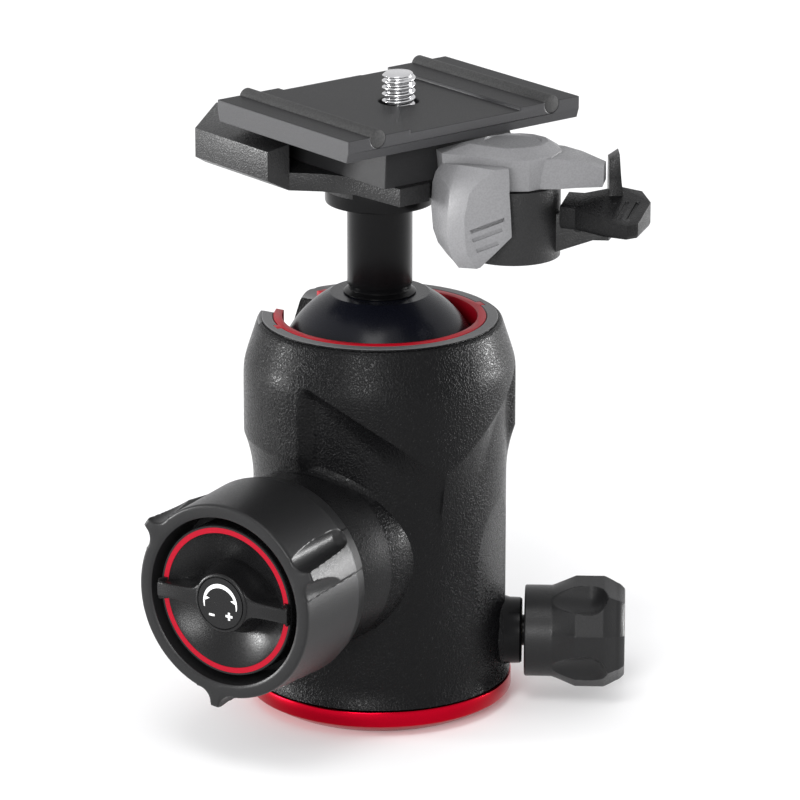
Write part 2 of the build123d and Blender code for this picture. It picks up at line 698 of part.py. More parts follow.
# ---- ball and stem ------------------------------------------------------
def ball():
    body = Pos(0, 0, BALL_Z) * Sphere(BALL_R)
    body -= rod(BALL_R, BALL_FLAT_Z, BALL_FLAT_Z + BALL_R)
    return body - rod(SPIGOT_R + SEAT_GAP, BALL_FLAT_Z - SPIGOT_LENGTH - 0.2, BALL_FLAT_Z + 1)


def flange_key(extra=0.0):
    half = KEY_W / 2 + extra
    reach = FLANGE_R + extra
    key = slab(-half, half, -reach, reach, CASTING_Z0 - KEY_DEPTH - extra, CASTING_Z0)
    return key & rod(reach, FLANGE_Z0, CASTING_Z0)


def stem():
    foot = BALL_FLAT_Z + LIFT_GAP
    body = turned(
        (0, foot - SPIGOT_LENGTH), (SPIGOT_R, foot - SPIGOT_LENGTH), (SPIGOT_R, foot),
        (STEM_R, foot), (STEM_GROOVE_R, foot + 0.4), (STEM_GROOVE_R, foot + STEM_GROOVE_H),
        (STEM_R, foot + STEM_GROOVE_H + 0.4), (STEM_R, FLANGE_Z0 - 0.6), (STEM_R + 0.6, FLANGE_Z0),
        (FLANGE_R - 0.5, FLANGE_Z0), (FLANGE_R, FLANGE_Z0 + 0.5), (FLANGE_R, CASTING_Z0),
        (0, CASTING_Z0),
    )
    body = HEAD_FRAME * body - HEAD_FRAME * flange_key(SEAT_GAP)
    seat = FLOOR_Z - STEM_BOLT_HEAD_H
    return body - rod(STEM_BOLT_R + SEAT_GAP, seat - STEM_BOLT_LENGTH - 0.5, CASTING_Z0 + 1)


def stem_bolt():
    seat = FLOOR_Z - STEM_BOLT_HEAD_H
    bolt = rod(STEM_BOLT_HEAD_R, seat, FLOOR_Z) + rod(STEM_BOLT_R, seat - STEM_BOLT_LENGTH, seat)
    return bolt - extrude(Pos(0, 0, seat + 0.6) * RegularPolygon(STEM_BOLT_R * 0.9, 6), 5)


# ---- quick release clamp ------------------------------------------------
PLATE_LEFT = PLATE_X - PLATE_W / 2
PLATE_RIGHT = PLATE_X + PLATE_W / 2
PLATE_FRONT = PLATE_Y - PLATE_L / 2
FOOT_LEFT = PLATE_X - FOOT_HALF_W
FOOT_RIGHT = PLATE_X + FOOT_HALF_W
FOOT_FRONT = PLATE_Y - FOOT_HALF_L
JAW_LEFT = PLATE_LEFT - JAW_REACH
JAW_FRONT_RIGHT = PLATE_LEFT + JAW_GRIP
WAIST_FRONT = PLATE_Y - WAIST_HALF


def mirrored(points):
    """The same outline points on the far half of the clamp, in reverse order."""
    return [(x, 2 * PLATE_Y - y) for x, y in reversed(points)]


def clamp_outline():
    front = [
        (JAW_LEFT, PLATE_FRONT + JAW_CORNER_L),
        (JAW_LEFT + JAW_CORNER_W, PLATE_FRONT),
        (JAW_FRONT_RIGHT, PLATE_FRONT),
        (JAW_FRONT_RIGHT + WAIST_STEPS[0], PLATE_FRONT + JAW_FRONT_DEPTH),
        (JAW_FRONT_RIGHT + WAIST_STEPS[1], WAIST_FRONT - WAIST_DIPS[0]),
        (JAW_FRONT_RIGHT + WAIST_STEPS[2], WAIST_FRONT - WAIST_DIPS[1]),
        (PLATE_RIGHT - FLOOR_SETBACK, WAIST_FRONT),
        (PLATE_RIGHT - FLOOR_SETBACK, WAIST_FRONT + FLOOR_STEP_L),
        (FOOT_RIGHT, WAIST_FRONT + FLOOR_STEP_L + JAW_TAPER),
    ]
    back = [(FOOT_RIGHT, 2 * PLATE_Y - WAIST_FRONT)] + mirrored(front[:6])
    return front, back


def clamp_casting():
    front, back = clamp_outline()
    body = prism(front + back, CASTING_Z0, FLOOR_Z)
    # the fixed jaw, a raised block that the plate's foot hooks under
    hook_x = FOOT_LEFT + FOOT_FLARE
    hook = [(hook_x, FOOT_FRONT - FOOT_FLARE), (hook_x, 2 * PLATE_Y - FOOT_FRONT + FOOT_FLARE)]
    jaw = front[:4] + hook + back[-4:]
    block = prism(jaw, CASTING_Z0, JAW_BACK_TOP_Z)
    top = JAW_BACK_TOP_Z
    fall = JAW_BACK_TOP_Z - JAW_TOP_Z
    for side in (1, -1):
        edge = PLATE_FRONT if side == 1 else 2 * PLATE_Y - PLATE_FRONT
        above = make_face(Polyline(
            (JAW_LEFT, edge - side * JAW_CORNER_L, JAW_TOP_Z - fall),
            (JAW_LEFT, edge + side * JAW_CORNER_L, top), (JAW_LEFT, edge + side * JAW_CORNER_L, top + fall),
            (JAW_LEFT, edge - side * JAW_CORNER_L, top + fall), close=True,
        ))
        block -= extrude(above, PLATE_W, dir=(1, 0, 0))
    block -= slab(PLATE_LEFT, PLATE_RIGHT, FOOT_FRONT - RUN_GAP, 2 * PLATE_Y - FOOT_FRONT + RUN_GAP,
                  FLOOR_Z, top + fall)
    block += slab(PLATE_LEFT - SEAT_GAP, FOOT_LEFT - SEAT_GAP, FOOT_FRONT, 2 * PLATE_Y - FOOT_FRONT,
                  CASTING_Z0, FLOOR_Z + JAW_LEDGE_H)
    body += block
    # the chamfer under the jaw's two ends
    for side in (1, -1):
        edge = PLATE_FRONT if side == 1 else 2 * PLATE_Y - PLATE_FRONT
        under = make_face(Polyline(
            (JAW_LEFT, edge - side * JAW_UNDER_W, CASTING_Z0 + 2 * JAW_UNDER_H),
            (JAW_LEFT, edge + side * JAW_UNDER_W, CASTING_Z0),
            (JAW_LEFT, edge + side * JAW_UNDER_W, CASTING_Z0 - JAW_UNDER_H),
            (JAW_LEFT, edge - side * JAW_UNDER_W, CASTING_Z0 - JAW_UNDER_H), close=True,
        ))
        body -= extrude(under, PLATE_W, dir=(1, 0, 0))
    # the boss that carries the lever, and the strut to it
    at_lever = Pos(LEVER_X, LEVER_Y, 0)
    body += at_lever * rod(LEVER_BOSS_R, LEVER_BOSS_Z0, LEVER_BOSS_Z1)
    body += slab(PLATE_X, LEVER_X - STRUT_SINK, LEVER_Y - STRUT_HALF_W, LEVER_Y + STRUT_HALF_W,
                 CASTING_Z0 - STRUT_DROP, FLOOR_Z - STRUT_SET_DOWN)
    body -= slab(PLATE_LEFT, PLATE_X + STRUT_START, LEVER_Y - 2 * STRUT_HALF_W,
                 LEVER_Y + 2 * STRUT_HALF_W, CASTING_Z0 - 2 * STRUT_DROP, CASTING_Z0)
    # the catch's web
    web = make_face(Polyline(
        (LEVER_BOSS_R - WEB_SINK, -WEB_HALF_W, LEVER_BOSS_Z0 + WEB_FOOT_RISE),
        (CATCH_PIN_OUT + WEB_LIP_OUT, -WEB_HALF_W, WEB_LIP_Z),
        (CATCH_PIN_OUT + WEB_REACH, -WEB_HALF_W, WEB_TIP_Z),
        (CATCH_PIN_OUT + WEB_REACH, -WEB_HALF_W, WEB_TOP_Z),
        (CATCH_PIN_OUT + WEB_STEP_OUT, -WEB_HALF_W, WEB_TOP_Z),
        (CATCH_PIN_OUT + WEB_STEP_OUT, -WEB_HALF_W, WEB_STEP_Z),
        (CATCH_PIN_OUT, -WEB_HALF_W, CATCH_PIN_Z + WEB_PIN_WALL),
        (LEVER_BOSS_R - WEB_SINK, -WEB_HALF_W, CATCH_PIN_Z + WEB_PIN_WALL), close=True,
    ))
    body += at_lever * Rot(0, 0, CATCH_ANGLE) * extrude(web, 2 * WEB_HALF_W, dir=(0, 1, 0))
    pin_hole = Rot(90, 0, 0) * Cylinder(CATCH_PIN_R + SEAT_GAP, 4 * WEB_HALF_W)
    pin_hole = Pos(CATCH_PIN_OUT, 0, CATCH_PIN_Z) * pin_hole
    body -= at_lever * Rot(0, 0, CATCH_ANGLE) * pin_hole
    # bores of the lever's boss
    body -= at_lever * rod(LEVER_BUSH_R + SEAT_GAP, LEVER_BOSS_Z0 - 1, LEVER_BOSS_Z1 + 1)
    body -= at_lever * rod(LEVER_SCREW_HEAD_R + RUN_GAP, LEVER_BOSS_Z0 - 1, LEVER_BUSH_Z0 - SEAT_GAP)
    spring_room = LEVER_SPRING_R + LEVER_SPRING_WIRE_R + RUN_GAP
    body -= at_lever * rod(spring_room, LEVER_SPRING_Z0, LEVER_BOSS_Z1 + 1)
    # the stem's key and bolt
    body += flange_key()
    body -= rod(STEM_BOLT_R + SEAT_GAP, CASTING_Z0 - 9, FLOOR_Z + 1)
    body -= rod(STEM_BOLT_HEAD_R + SEAT_GAP, FLOOR_Z - STEM_BOLT_HEAD_H, FLOOR_Z + 1)
    return HEAD_FRAME * body


def plate_foot():
    """The dovetail under the plate, wider at its foot."""
    low = Pos(PLATE_X, PLATE_Y, FLOOR_Z) * Rectangle(2 * FOOT_HALF_W, 2 * FOOT_HALF_L)
    high = Pos(PLATE_X, PLATE_Y, PLATE_BOTTOM_Z) * Rectangle(
        2 * (FOOT_HALF_W - FOOT_FLARE), 2 * (FOOT_HALF_L - FOOT_FLARE)
    )
    return loft([low.face(), high.face()])


def strip_space(y, extra=0.0):
    """A strip's round-bottomed slot across the plate."""
    half = STRIP_W / 2
    top = PLATE_TOP_Z
    round_z = top - STRIP_DEPTH + half
    bar = Pos(PLATE_X, y, round_z) * Rot(0, 90, 0) * Cylinder(half, PLATE_W)
    x0, x1 = PLATE_LEFT, PLATE_RIGHT
    return bar + slab(x0, x1, y - half * 0.7, y + half * 0.7, round_z, top + extra)


STRIP_YS = (PLATE_FRONT + STRIP_INSET, 2 * PLATE_Y - PLATE_FRONT - STRIP_INSET)


def plate():
    half = PLATE_W / 2
    side_foot = PLATE_TOP_Z - PLATE_SIDE_H
    section = make_face(Polyline(
        (PLATE_X - half, 0, PLATE_TOP_Z), (PLATE_X + half, 0, PLATE_TOP_Z),
        (PLATE_X + half, 0, side_foot), (PLATE_X + half - PLATE_UNDERCUT, 0, PLATE_BOTTOM_Z),
        (PLATE_X - half + PLATE_UNDERCUT, 0, PLATE_BOTTOM_Z), (PLATE_X - half, 0, side_foot),
        close=True,
    ))
    body = Pos(0, PLATE_FRONT, 0) * extrude(section, PLATE_L, dir=(0, 1, 0))
    body += plate_foot()
    back = 2 * PLATE_Y - PLATE_FRONT
    body -= slab(PLATE_LEFT - 1, PLATE_RIGHT + 1, PLATE_FRONT + PLATE_BAND_W, back - PLATE_BAND_W,
                 PLATE_TOP_Z - PLATE_RECESS, PLATE_TOP_Z + 1)
    for y in STRIP_YS:
        body -= strip_space(y, 1.0)
    body -= Pos(PLATE_X, PLATE_Y, 0) * rod(CAMERA_HOLE_R, FLOOR_Z - 1, PLATE_TOP_Z + 1)
    body -= Pos(PLATE_X, PLATE_Y, 0) * rod(SCREW_POCKET_R, FLOOR_Z - 1, FLOOR_Z + SCREW_POCKET_H)
    return HEAD_FRAME * body


def grip_strips():
    return [HEAD_FRAME * strip_space(y, STRIP_PROUD) for y in STRIP_YS]


def camera_screw():
    head_foot = FLOOR_Z + SCREW_HEAD_LIFT
    head_top = head_foot + SCREW_HEAD_T
    top = PLATE_TOP_Z + CAMERA_SCREW_STANDS
    tip_r = CAMERA_THREAD_R - 0.7
    thread_foot = PLATE_TOP_Z - PLATE_RECESS + 0.1
    body = turned(
        (0, head_foot), (SCREW_HEAD_R, head_foot), (SCREW_HEAD_R, head_top),
        (CAMERA_SCREW_NECK_R, head_top), (CAMERA_SCREW_NECK_R, thread_foot - 0.3),
        (CAMERA_THREAD_R, thread_foot), (CAMERA_THREAD_R, top - 0.7), (tip_r, top), (0, top),
    )
    body -= slab(-SCREW_HEAD_R - 1, SCREW_HEAD_R + 1, -COIN_SLOT_W / 2, COIN_SLOT_W / 2,
                 head_foot - 1, head_foot + COIN_SLOT_DEPTH)
    return HEAD_FRAME * Pos(PLATE_X, PLATE_Y, 0) * body


def screw_clip():
    """The clip ring that keeps the camera screw in the plate."""
    top = FLOOR_Z + SCREW_POCKET_H
    ring = tube(SCREW_POCKET_R, CAMERA_SCREW_NECK_R + 2 * SEAT_GAP, top - CLIP_T, top)
    return HEAD_FRAME * Pos(PLATE_X, PLATE_Y, 0) * ring


# ---- clamp lever --------------------------------------------------------
def lever_outline():
    tip = [(ARM_REACH * 0.985, -ARM_HALF_W), (ARM_REACH * 0.985, ARM_HALF_W)]
    turn = radians(ARM_ANGLE)
    arm = [(x * cos(turn) - y * sin(turn), x * sin(turn) + y * cos(turn)) for x, y in tip]
    return [
        (-LEVER_BACK_R, -12.6), (-5.2, -13.4),
        polar(LEVER_HUB_R + 2.2, -100), polar(LEVER_HUB_R, -76),
        polar(LEVER_HUB_R + 0.2, -50), polar(LEVER_HUB_R + 0.2, -18), polar(LEVER_HUB_R, 14),
        arm[0], arm[1],
        polar(LEVER_HUB_R + 0.3, 78), polar(LEVER_BACK_R + 0.4, 102), polar(LEVER_BACK_R, 126),
        polar(LEVER_BACK_R, 152), (-LEVER_BACK_R, 0),
    ]


def lever_crown(shrink, z):
    """One level of the hub above its flanks, drawn in towards the axis by shrink."""
    front, back = LEVER_HUB_R * shrink, LEVER_BACK_R * shrink
    corner = (-LEVER_BACK_R * (0.45 + 0.55 * shrink), -LEVER_CORNER * shrink)
    points = [
        corner, polar(front, -78), polar(front, -50), polar(front, -18), polar(front, 14),
        polar(front, 52), polar(back, 88), polar(back, 120), polar(back, 152), (-back, 0),
    ]
    return make_face(Polyline(*[(x, y, z) for x, y in points], close=True))


def clamp_lever():
    flank_top = LEVER_Z1 - LEVER_CROWN_H
    flank = prism(lever_outline(), LEVER_Z0, flank_top)
    # the arm's top falls from the hub to the tip
    arm_side = make_face(Polyline(
        (LEVER_HUB_R, -LEVER_HUB_R, flank_top), (ARM_REACH, -LEVER_HUB_R, ARM_TOP_Z),
        (ARM_REACH + ARM_HALF_W, -LEVER_HUB_R, ARM_TOP_Z), (ARM_REACH + ARM_HALF_W, -LEVER_HUB_R, LEVER_Z1),
        (LEVER_HUB_R, -LEVER_HUB_R, LEVER_Z1), close=True,
    ))
    flank -= Rot(0, 0, ARM_ANGLE) * extrude(arm_side, 2 * LEVER_HUB_R, dir=(0, 1, 0))
    crown = loft([lever_crown(CROWN_FOOT, flank_top), lever_crown(CROWN_TOP, LEVER_Z1)], ruled=True)
    crown -= rod(CROWN_DISC_R, LEVER_Z1 - CROWN_DISC_DEPTH, LEVER_Z1 + 1)
    # the finger tab that hangs beside the boss, with its lower outer corner cut away
    tab = prism(TAB_PLAN, HANDLE_Z0, LEVER_Z0 + TAB_ROOT_H)
    corner = make_face(Polyline(
        (0, TAB_CORNER_S, HANDLE_Z0 - 1), (0, TAB_CORNER_S, HANDLE_Z0),
        (0, TAB_PLAN_W, HANDLE_Z0 + TAB_CORNER_H), (0, TAB_PLAN_W, HANDLE_Z0 - 1), close=True,
    ))
    tab -= Rot(0, 0, TAB_FACING) * extrude(corner, 2 * ARM_REACH, dir=(1, 0, 0))
    body = flank + crown + tab
    body -= rod(LEVER_BOSS_R + TAB_GAP, HANDLE_Z0 - 1, LEVER_Z0)
    body -= rod(LEVER_SCREW_R + SEAT_GAP, LEVER_Z0 - 1, LEVER_Z1 - LEVER_SCREW_COVER)
    return LEVER_FRAME * body


def lever_screw():
    head_foot = LEVER_BUSH_Z0 - RUN_GAP - LEVER_SCREW_HEAD_H
    screw = rod(LEVER_SCREW_HEAD_R, head_foot, head_foot + LEVER_SCREW_HEAD_H)
    screw += rod(LEVER_SCREW_R, head_foot, LEVER_Z1 - LEVER_SCREW_COVER - 2 * SEAT_GAP)
    socket = Pos(0, 0, head_foot - 1) * RegularPolygon(0.8 * LEVER_SCREW_R, 6)
    screw -= extrude(socket, 1 + 0.5 * LEVER_SCREW_HEAD_H)
    return LEVER_FRAME * screw


def lever_bush():
    inner = LEVER_SCREW_R + SEAT_GAP
    return LEVER_FRAME * tube(LEVER_BUSH_R, inner, LEVER_BUSH_Z0, LEVER_BOSS_Z1)


def lever_spring():
    return LEVER_FRAME * coil(
        LEVER_SPRING_R, LEVER_SPRING_WIRE_R, LEVER_SPRING_H, LEVER_SPRING_TURNS, LEVER_SPRING_Z0
    )


def catch_lever():
    outline = [
        (CATCH_START, -CATCH_ROOT_HALF_W), (CATCH_START + 3, -CATCH_ROOT_HALF_W),
        (CATCH_START + 10, -CATCH_HALF_W + 0.6), (CATCH_END - 1.6, -CATCH_HALF_W),
        (CATCH_END, -CATCH_HALF_W + 1.8), (CATCH_END, CATCH_HALF_W - 3.4),
        (CATCH_END - 2.6, CATCH_HALF_W), (CATCH_START + 8, CATCH_HALF_W),
        (CATCH_START + 3, CATCH_ROOT_HALF_W), (CATCH_START, CATCH_ROOT_HALF_W),
    ]
    body = prism(outline, CATCH_Z0, CATCH_TOP_Z)
    cheek = prism(outline[:2] + outline[-2:], CATCH_Z0 - 0.9, CATCH_TOP_Z)
    body += cheek
    body -= slab(CATCH_START - 1, CATCH_PIN_OUT + 6.2, -WEB_HALF_W - RUN_GAP, WEB_HALF_W + RUN_GAP,
                 CATCH_Z0 - 3, CATCH_TOP_Z - CATCH_ROOF_T)
    fin = make_face(Polyline(
        (FIN_START, 0, CATCH_TOP_Z - 0.5), (FIN_START + FIN_T, 0, CATCH_TOP_Z - 0.5),
        (FIN_START + FIN_T, 0, FIN_TOP_Z), (FIN_START + 1.2, 0, FIN_TOP_Z),
        (FIN_START, 0, ARM_TOP_Z + 0.4), close=True,
    ))
    fin = Pos(0, -FIN_W / 2, 0) * extrude(fin, FIN_W, dir=(0, 1, 0))
    body += Rot(0, 0, FIN_ANGLE - CATCH_ANGLE) * fin
    pin_hole = Rot(90, 0, 0) * Cylinder(CATCH_PIN_R + SEAT_GAP, 4 * CATCH_ROOT_HALF_W)
    body -= Pos(CATCH_PIN_OUT, 0, CATCH_PIN_Z) * pin_hole
    return CATCH_FRAME * body


def catch_pin():
    pin = Rot(90, 0, 0) * Cylinder(CATCH_PIN_R, 2 * CATCH_ROOT_HALF_W)
    return CATCH_FRAME * Pos(CATCH_PIN_OUT, 0, CATCH_PIN_Z) * pin


def catch_spring():
    low = WEB_TOP_Z
    height = CATCH_TOP_Z - CATCH_ROOF_T - low - CATCH_SPRING_FREE
    spring = coil(CATCH_SPRING_R, CATCH_SPRING_WIRE_R, height, 3, low)
    return CATCH_FRAME * Pos(CATCH_SPRING_OUT, 0, 0) * spring


NODES = {
    "base_disc": base_disc,
    "pan_hub": pan_hub,
    "thread_bush": thread_bush,
    "base_screws": base_screws,
    "pan_retainer": pan_retainer,
    "retainer_screws": retainer_screws,
    "pan_washer": pan_washer,
    "housing": housing,
    "liner_ring": liner_ring,
    "cup_carrier": cup_carrier,
    "disc_spring": disc_spring,
    "wedge_plunger": wedge_plunger,
    "clamp_nut": clamp_nut,
    "pan_nut": pan_nut,
    "pan_brake_pad": pan_brake_pad,
    "ball_cup": ball_cup,
    "ball": ball,
    "stem": stem,
    "stem_bolt": stem_bolt,
    "clamp_casting": clamp_casting,
    "plate": plate,
    "grip_strips": grip_strips,
    "screw_clip": screw_clip,
    "lever_bush": lever_bush,
    "lever_spring": lever_spring,
    "catch_pin": catch_pin,
    "catch_spring": catch_spring,
    "main_knob": main_knob,
    "clamp_screw": clamp_screw,
    "friction_spring": friction_spring,
    "friction_dial": friction_dial,
    "dial_ring": dial_ring,
    "dial_label": dial_label,
    "friction_stud": friction_stud,
    "pan_knob": pan_knob,
    "pan_screw": pan_screw,
    "clamp_lever": clamp_lever,
    "lever_screw": lever_screw,
    "catch_lever": catch_lever,
    "camera_screw": camera_screw,
}

for node, build in NODES.items():
    save(build(), node)
    print("wrote", node)
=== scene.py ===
# %% [markdown]
# # A tripod ball head, dressed for a studio picture
# The machined and moulded parts come from a CAD model that was packed with its joints.
# This lesson keeps every part in the place that the CAD gives it, makes a finer skin
# for the parts that are seen most, and gives each surface a finish made only of nodes.
# Everything is in metres, with Z up and the tripod's screw hole at the origin.

# %% Load the frame
import bpy
import bmesh
import numpy as np
from math import cos, sin, radians, pi, sqrt
from mathutils import Matrix, Vector


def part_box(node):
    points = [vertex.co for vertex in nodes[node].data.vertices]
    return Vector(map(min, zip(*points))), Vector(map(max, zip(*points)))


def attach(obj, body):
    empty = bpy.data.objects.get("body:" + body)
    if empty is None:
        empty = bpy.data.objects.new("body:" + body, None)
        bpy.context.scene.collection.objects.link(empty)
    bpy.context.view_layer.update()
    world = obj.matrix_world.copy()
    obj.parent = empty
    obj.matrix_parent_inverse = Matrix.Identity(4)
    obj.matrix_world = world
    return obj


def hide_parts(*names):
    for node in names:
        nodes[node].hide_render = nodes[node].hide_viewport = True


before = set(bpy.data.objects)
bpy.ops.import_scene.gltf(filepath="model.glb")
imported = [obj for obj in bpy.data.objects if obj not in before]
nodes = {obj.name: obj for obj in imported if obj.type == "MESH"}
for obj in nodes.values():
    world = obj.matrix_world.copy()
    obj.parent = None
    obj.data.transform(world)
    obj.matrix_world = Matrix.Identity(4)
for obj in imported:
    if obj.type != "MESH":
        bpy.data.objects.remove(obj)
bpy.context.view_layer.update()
MM = 0.001

# %% [markdown]
# ## The places that the parts are turned about
# The ball's centre, the main knob's axis, the pan knob's axis and the clamp lever's axis
# are where the CAD has them. The head above the ball is turned a little, so its pieces are
# drawn square and turned once, by one matrix.

# %% Axes of the head
BALL_Z = 63.5
KNOB_Z = 34.7
PAN_Z, PAN_ANGLE = 13.0, 30.0
HEAD_YAW = -19.0
LEVER_X, LEVER_Y = 26.5, 10.5
head_turn = Matrix.Rotation(radians(HEAD_YAW), 4, "Z")
lever_place = head_turn @ Matrix.Translation((LEVER_X * MM, LEVER_Y * MM, 0))
# the knobs are drawn standing on +Z and laid over along their own axes
knob_place = Matrix.Translation((0, 0, KNOB_Z * MM)) @ Matrix.Rotation(radians(90), 4, "X")
pan_place = (Matrix.Translation((0, 0, PAN_Z * MM)) @ Matrix.Rotation(radians(PAN_ANGLE), 4, "Z")
             @ Matrix.Rotation(radians(90), 4, "Y") @ Matrix.Rotation(radians(90), 4, "Z"))
print("lever axis at", [round(v, 4) for v in lever_place.translation])

# %% [markdown]
# ## Mesh helpers
# Turned and moulded shapes are grids of points: one row of points after another, closed
# round. A grid keeps its edges where the shape bends, which a boolean or a remesh does not.

# %% Grid, lathe and prism
def new_piece(name, verts, faces):
    mesh = bpy.data.meshes.new(name)
    mesh.from_pydata([tuple(v) for v in verts], [], faces)
    piece = bpy.data.objects.new(name, mesh)
    bpy.context.scene.collection.objects.link(piece)
    return piece


def grid_faces(rows, cols, wrap_rows=False):
    """Quads between the rows of a grid whose columns run round and close."""
    faces = []
    for i in range(rows if wrap_rows else rows - 1):
        a, b = i * cols, ((i + 1) % rows) * cols
        for j in range(cols):
            k = (j + 1) % cols
            faces.append((a + j, a + k, b + k, b + j))
    return faces


def grid_piece(name, points, wrap_rows=False):
    """A piece from an array of points in mm, shaped rows x columns x 3."""
    rows, cols, _ = points.shape
    verts = points.reshape(-1, 3) * MM
    faces = grid_faces(rows, cols, wrap_rows)
    if not wrap_rows:
        faces.append(tuple(reversed(range(cols))))
        faces.append(tuple(range((rows - 1) * cols, rows * cols)))
    return new_piece(name, verts, faces)


def lathe_points(profile, cols):
    """Points in mm for (radius, height) rows turned about Z."""
    profile = np.array(profile, float)
    t = np.linspace(0, 2 * pi, cols, endpoint=False)
    r, z = profile[:, :1], profile[:, 1:]
    return np.stack([r * np.cos(t), r * np.sin(t), np.repeat(z, cols, 1)], -1)


def lathe(name, profile, cols=96):
    return grid_piece(name, lathe_points(profile, cols))


def radial_piece(name, t, radii, heights, centre=(0.0, 0.0), wrap_rows=False):
    """Rows of radii at the angles t in degrees, one row for each height, all in mm."""
    radius = np.array(radii)
    z = np.repeat(np.array(heights)[:, None], len(t), 1)
    x = centre[0] + radius * np.cos(np.radians(t))
    y = centre[1] + radius * np.sin(np.radians(t))
    return grid_piece(name, np.stack([x, y, z], -1), wrap_rows)


def prism(name, outline, low, high):
    """An upright block in mm over a closed outline of (x, y)."""
    n = len(outline)
    verts = [(x * MM, y * MM, z * MM) for z in (low, high) for x, y in outline]
    faces = [(i, (i + 1) % n, n + (i + 1) % n, n + i) for i in range(n)]
    faces += [tuple(reversed(range(n))), tuple(range(n, 2 * n))]
    return new_piece(name, verts, faces)


def outward(piece):
    """Merges doubles, turns all faces outward."""
    mesh = bmesh.new()
    mesh.from_mesh(piece.data)
    bmesh.ops.remove_doubles(mesh, verts=mesh.verts, dist=1e-7)
    bmesh.ops.recalc_face_normals(mesh, faces=mesh.faces)
    mesh.to_mesh(piece.data)
    mesh.free()
    return piece


def settle(piece, angle=30.0):
    """Applies the live modifiers and shades smooth, with edges sharper than the angle kept."""
    bpy.context.view_layer.update()
    graph = bpy.context.evaluated_depsgraph_get()
    mesh = bpy.data.meshes.new_from_object(piece.evaluated_get(graph))
    old = piece.data
    piece.modifiers.clear()
    piece.data = mesh
    mesh.name = piece.name
    bpy.data.meshes.remove(old)
    mesh.polygons.foreach_set("use_smooth", [True] * len(mesh.polygons))
    mesh.set_sharp_from_angle(angle=radians(angle))
    return piece


def cut(piece, tool, how="DIFFERENCE"):
    """Takes a tool away from a piece, or adds it with UNION. The tool is then thrown away."""
    m = piece.modifiers.new(how.lower(), "BOOLEAN")
    m.operation, m.solver, m.object = how, "MANIFOLD", tool
    bpy.context.view_layer.update()
    graph = bpy.context.evaluated_depsgraph_get()
    mesh = bpy.data.meshes.new_from_object(piece.evaluated_get(graph))
    piece.modifiers.clear()
    old = piece.data
    piece.data = mesh
    bpy.data.meshes.remove(old)
    bpy.data.objects.remove(tool)
    return piece


def placed(piece, matrix):
    piece.data.transform(matrix)
    if matrix.determinant() < 0:
        piece.data.flip_normals()
    return piece


def rounded(piece, width, angle=28.0, segments=2, smooth=40.0):
    """Rounds the edges sharper than the angle with a Bevel modifier."""
    m = piece.modifiers.new("round", "BEVEL")
    m.width, m.segments = width * MM, segments
    m.limit_method, m.angle_limit = "ANGLE", radians(angle)
    m.use_clamp_overlap = True
    m.harden_normals = False
    return settle(piece, smooth)


def joined_faces(piece):
    """Joins the faces that booleans split, so that a bevel meets clean edges."""
    mesh = bmesh.new()
    mesh.from_mesh(piece.data)
    bmesh.ops.remove_doubles(mesh, verts=mesh.verts, dist=5e-6)
    bmesh.ops.dissolve_limit(mesh, angle_limit=radians(2.0), verts=mesh.verts, edges=mesh.edges)
    mesh.to_mesh(piece.data)
    mesh.free()


def merged_copy(name, node):
    """A copy of a CAD node with its loose triangles joined into clean faces."""
    mesh = bmesh.new()
    mesh.from_mesh(nodes[node].data)
    bmesh.ops.remove_doubles(mesh, verts=mesh.verts, dist=2e-6)
    bmesh.ops.dissolve_limit(mesh, angle_limit=radians(1.5), verts=mesh.verts, edges=mesh.edges)
    data = bpy.data.meshes.new(name)
    mesh.to_mesh(data)
    mesh.free()
    piece = bpy.data.objects.new(name, data)
    bpy.context.scene.collection.objects.link(piece)
    return piece


def dressed(piece, body, slot, material, *replaced):
    """Gives a finished piece its finish, its body and the CAD nodes that it stands for."""
    piece.data.materials.clear()
    piece.data.materials.append(material)
    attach(piece, body)
    if replaced:
        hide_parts(*replaced)
    print(piece.name, "faces", len(piece.data.polygons))
    return piece


def smoothstep(x):
    x = np.clip(x, 0, 1)
    return x * x * (3 - 2 * x)

# %% [markdown]
# ## Finishes
# Cast parts of such a head carry a wrinkle powder coat, machined ones are anodised, and the
# grips are moulded with a fine spark-eroded grain. The wrinkle is a bump made from two
# noises: one lays down the leathery cells, the other varies how deep they are.

# %% A shader group for grain
def group_socket(tree, name, kind, way, value=None):
    s = tree.interface.new_socket(name=name, in_out=way, socket_type=kind)
    if value is not None:
        s.default_value = value
    return s


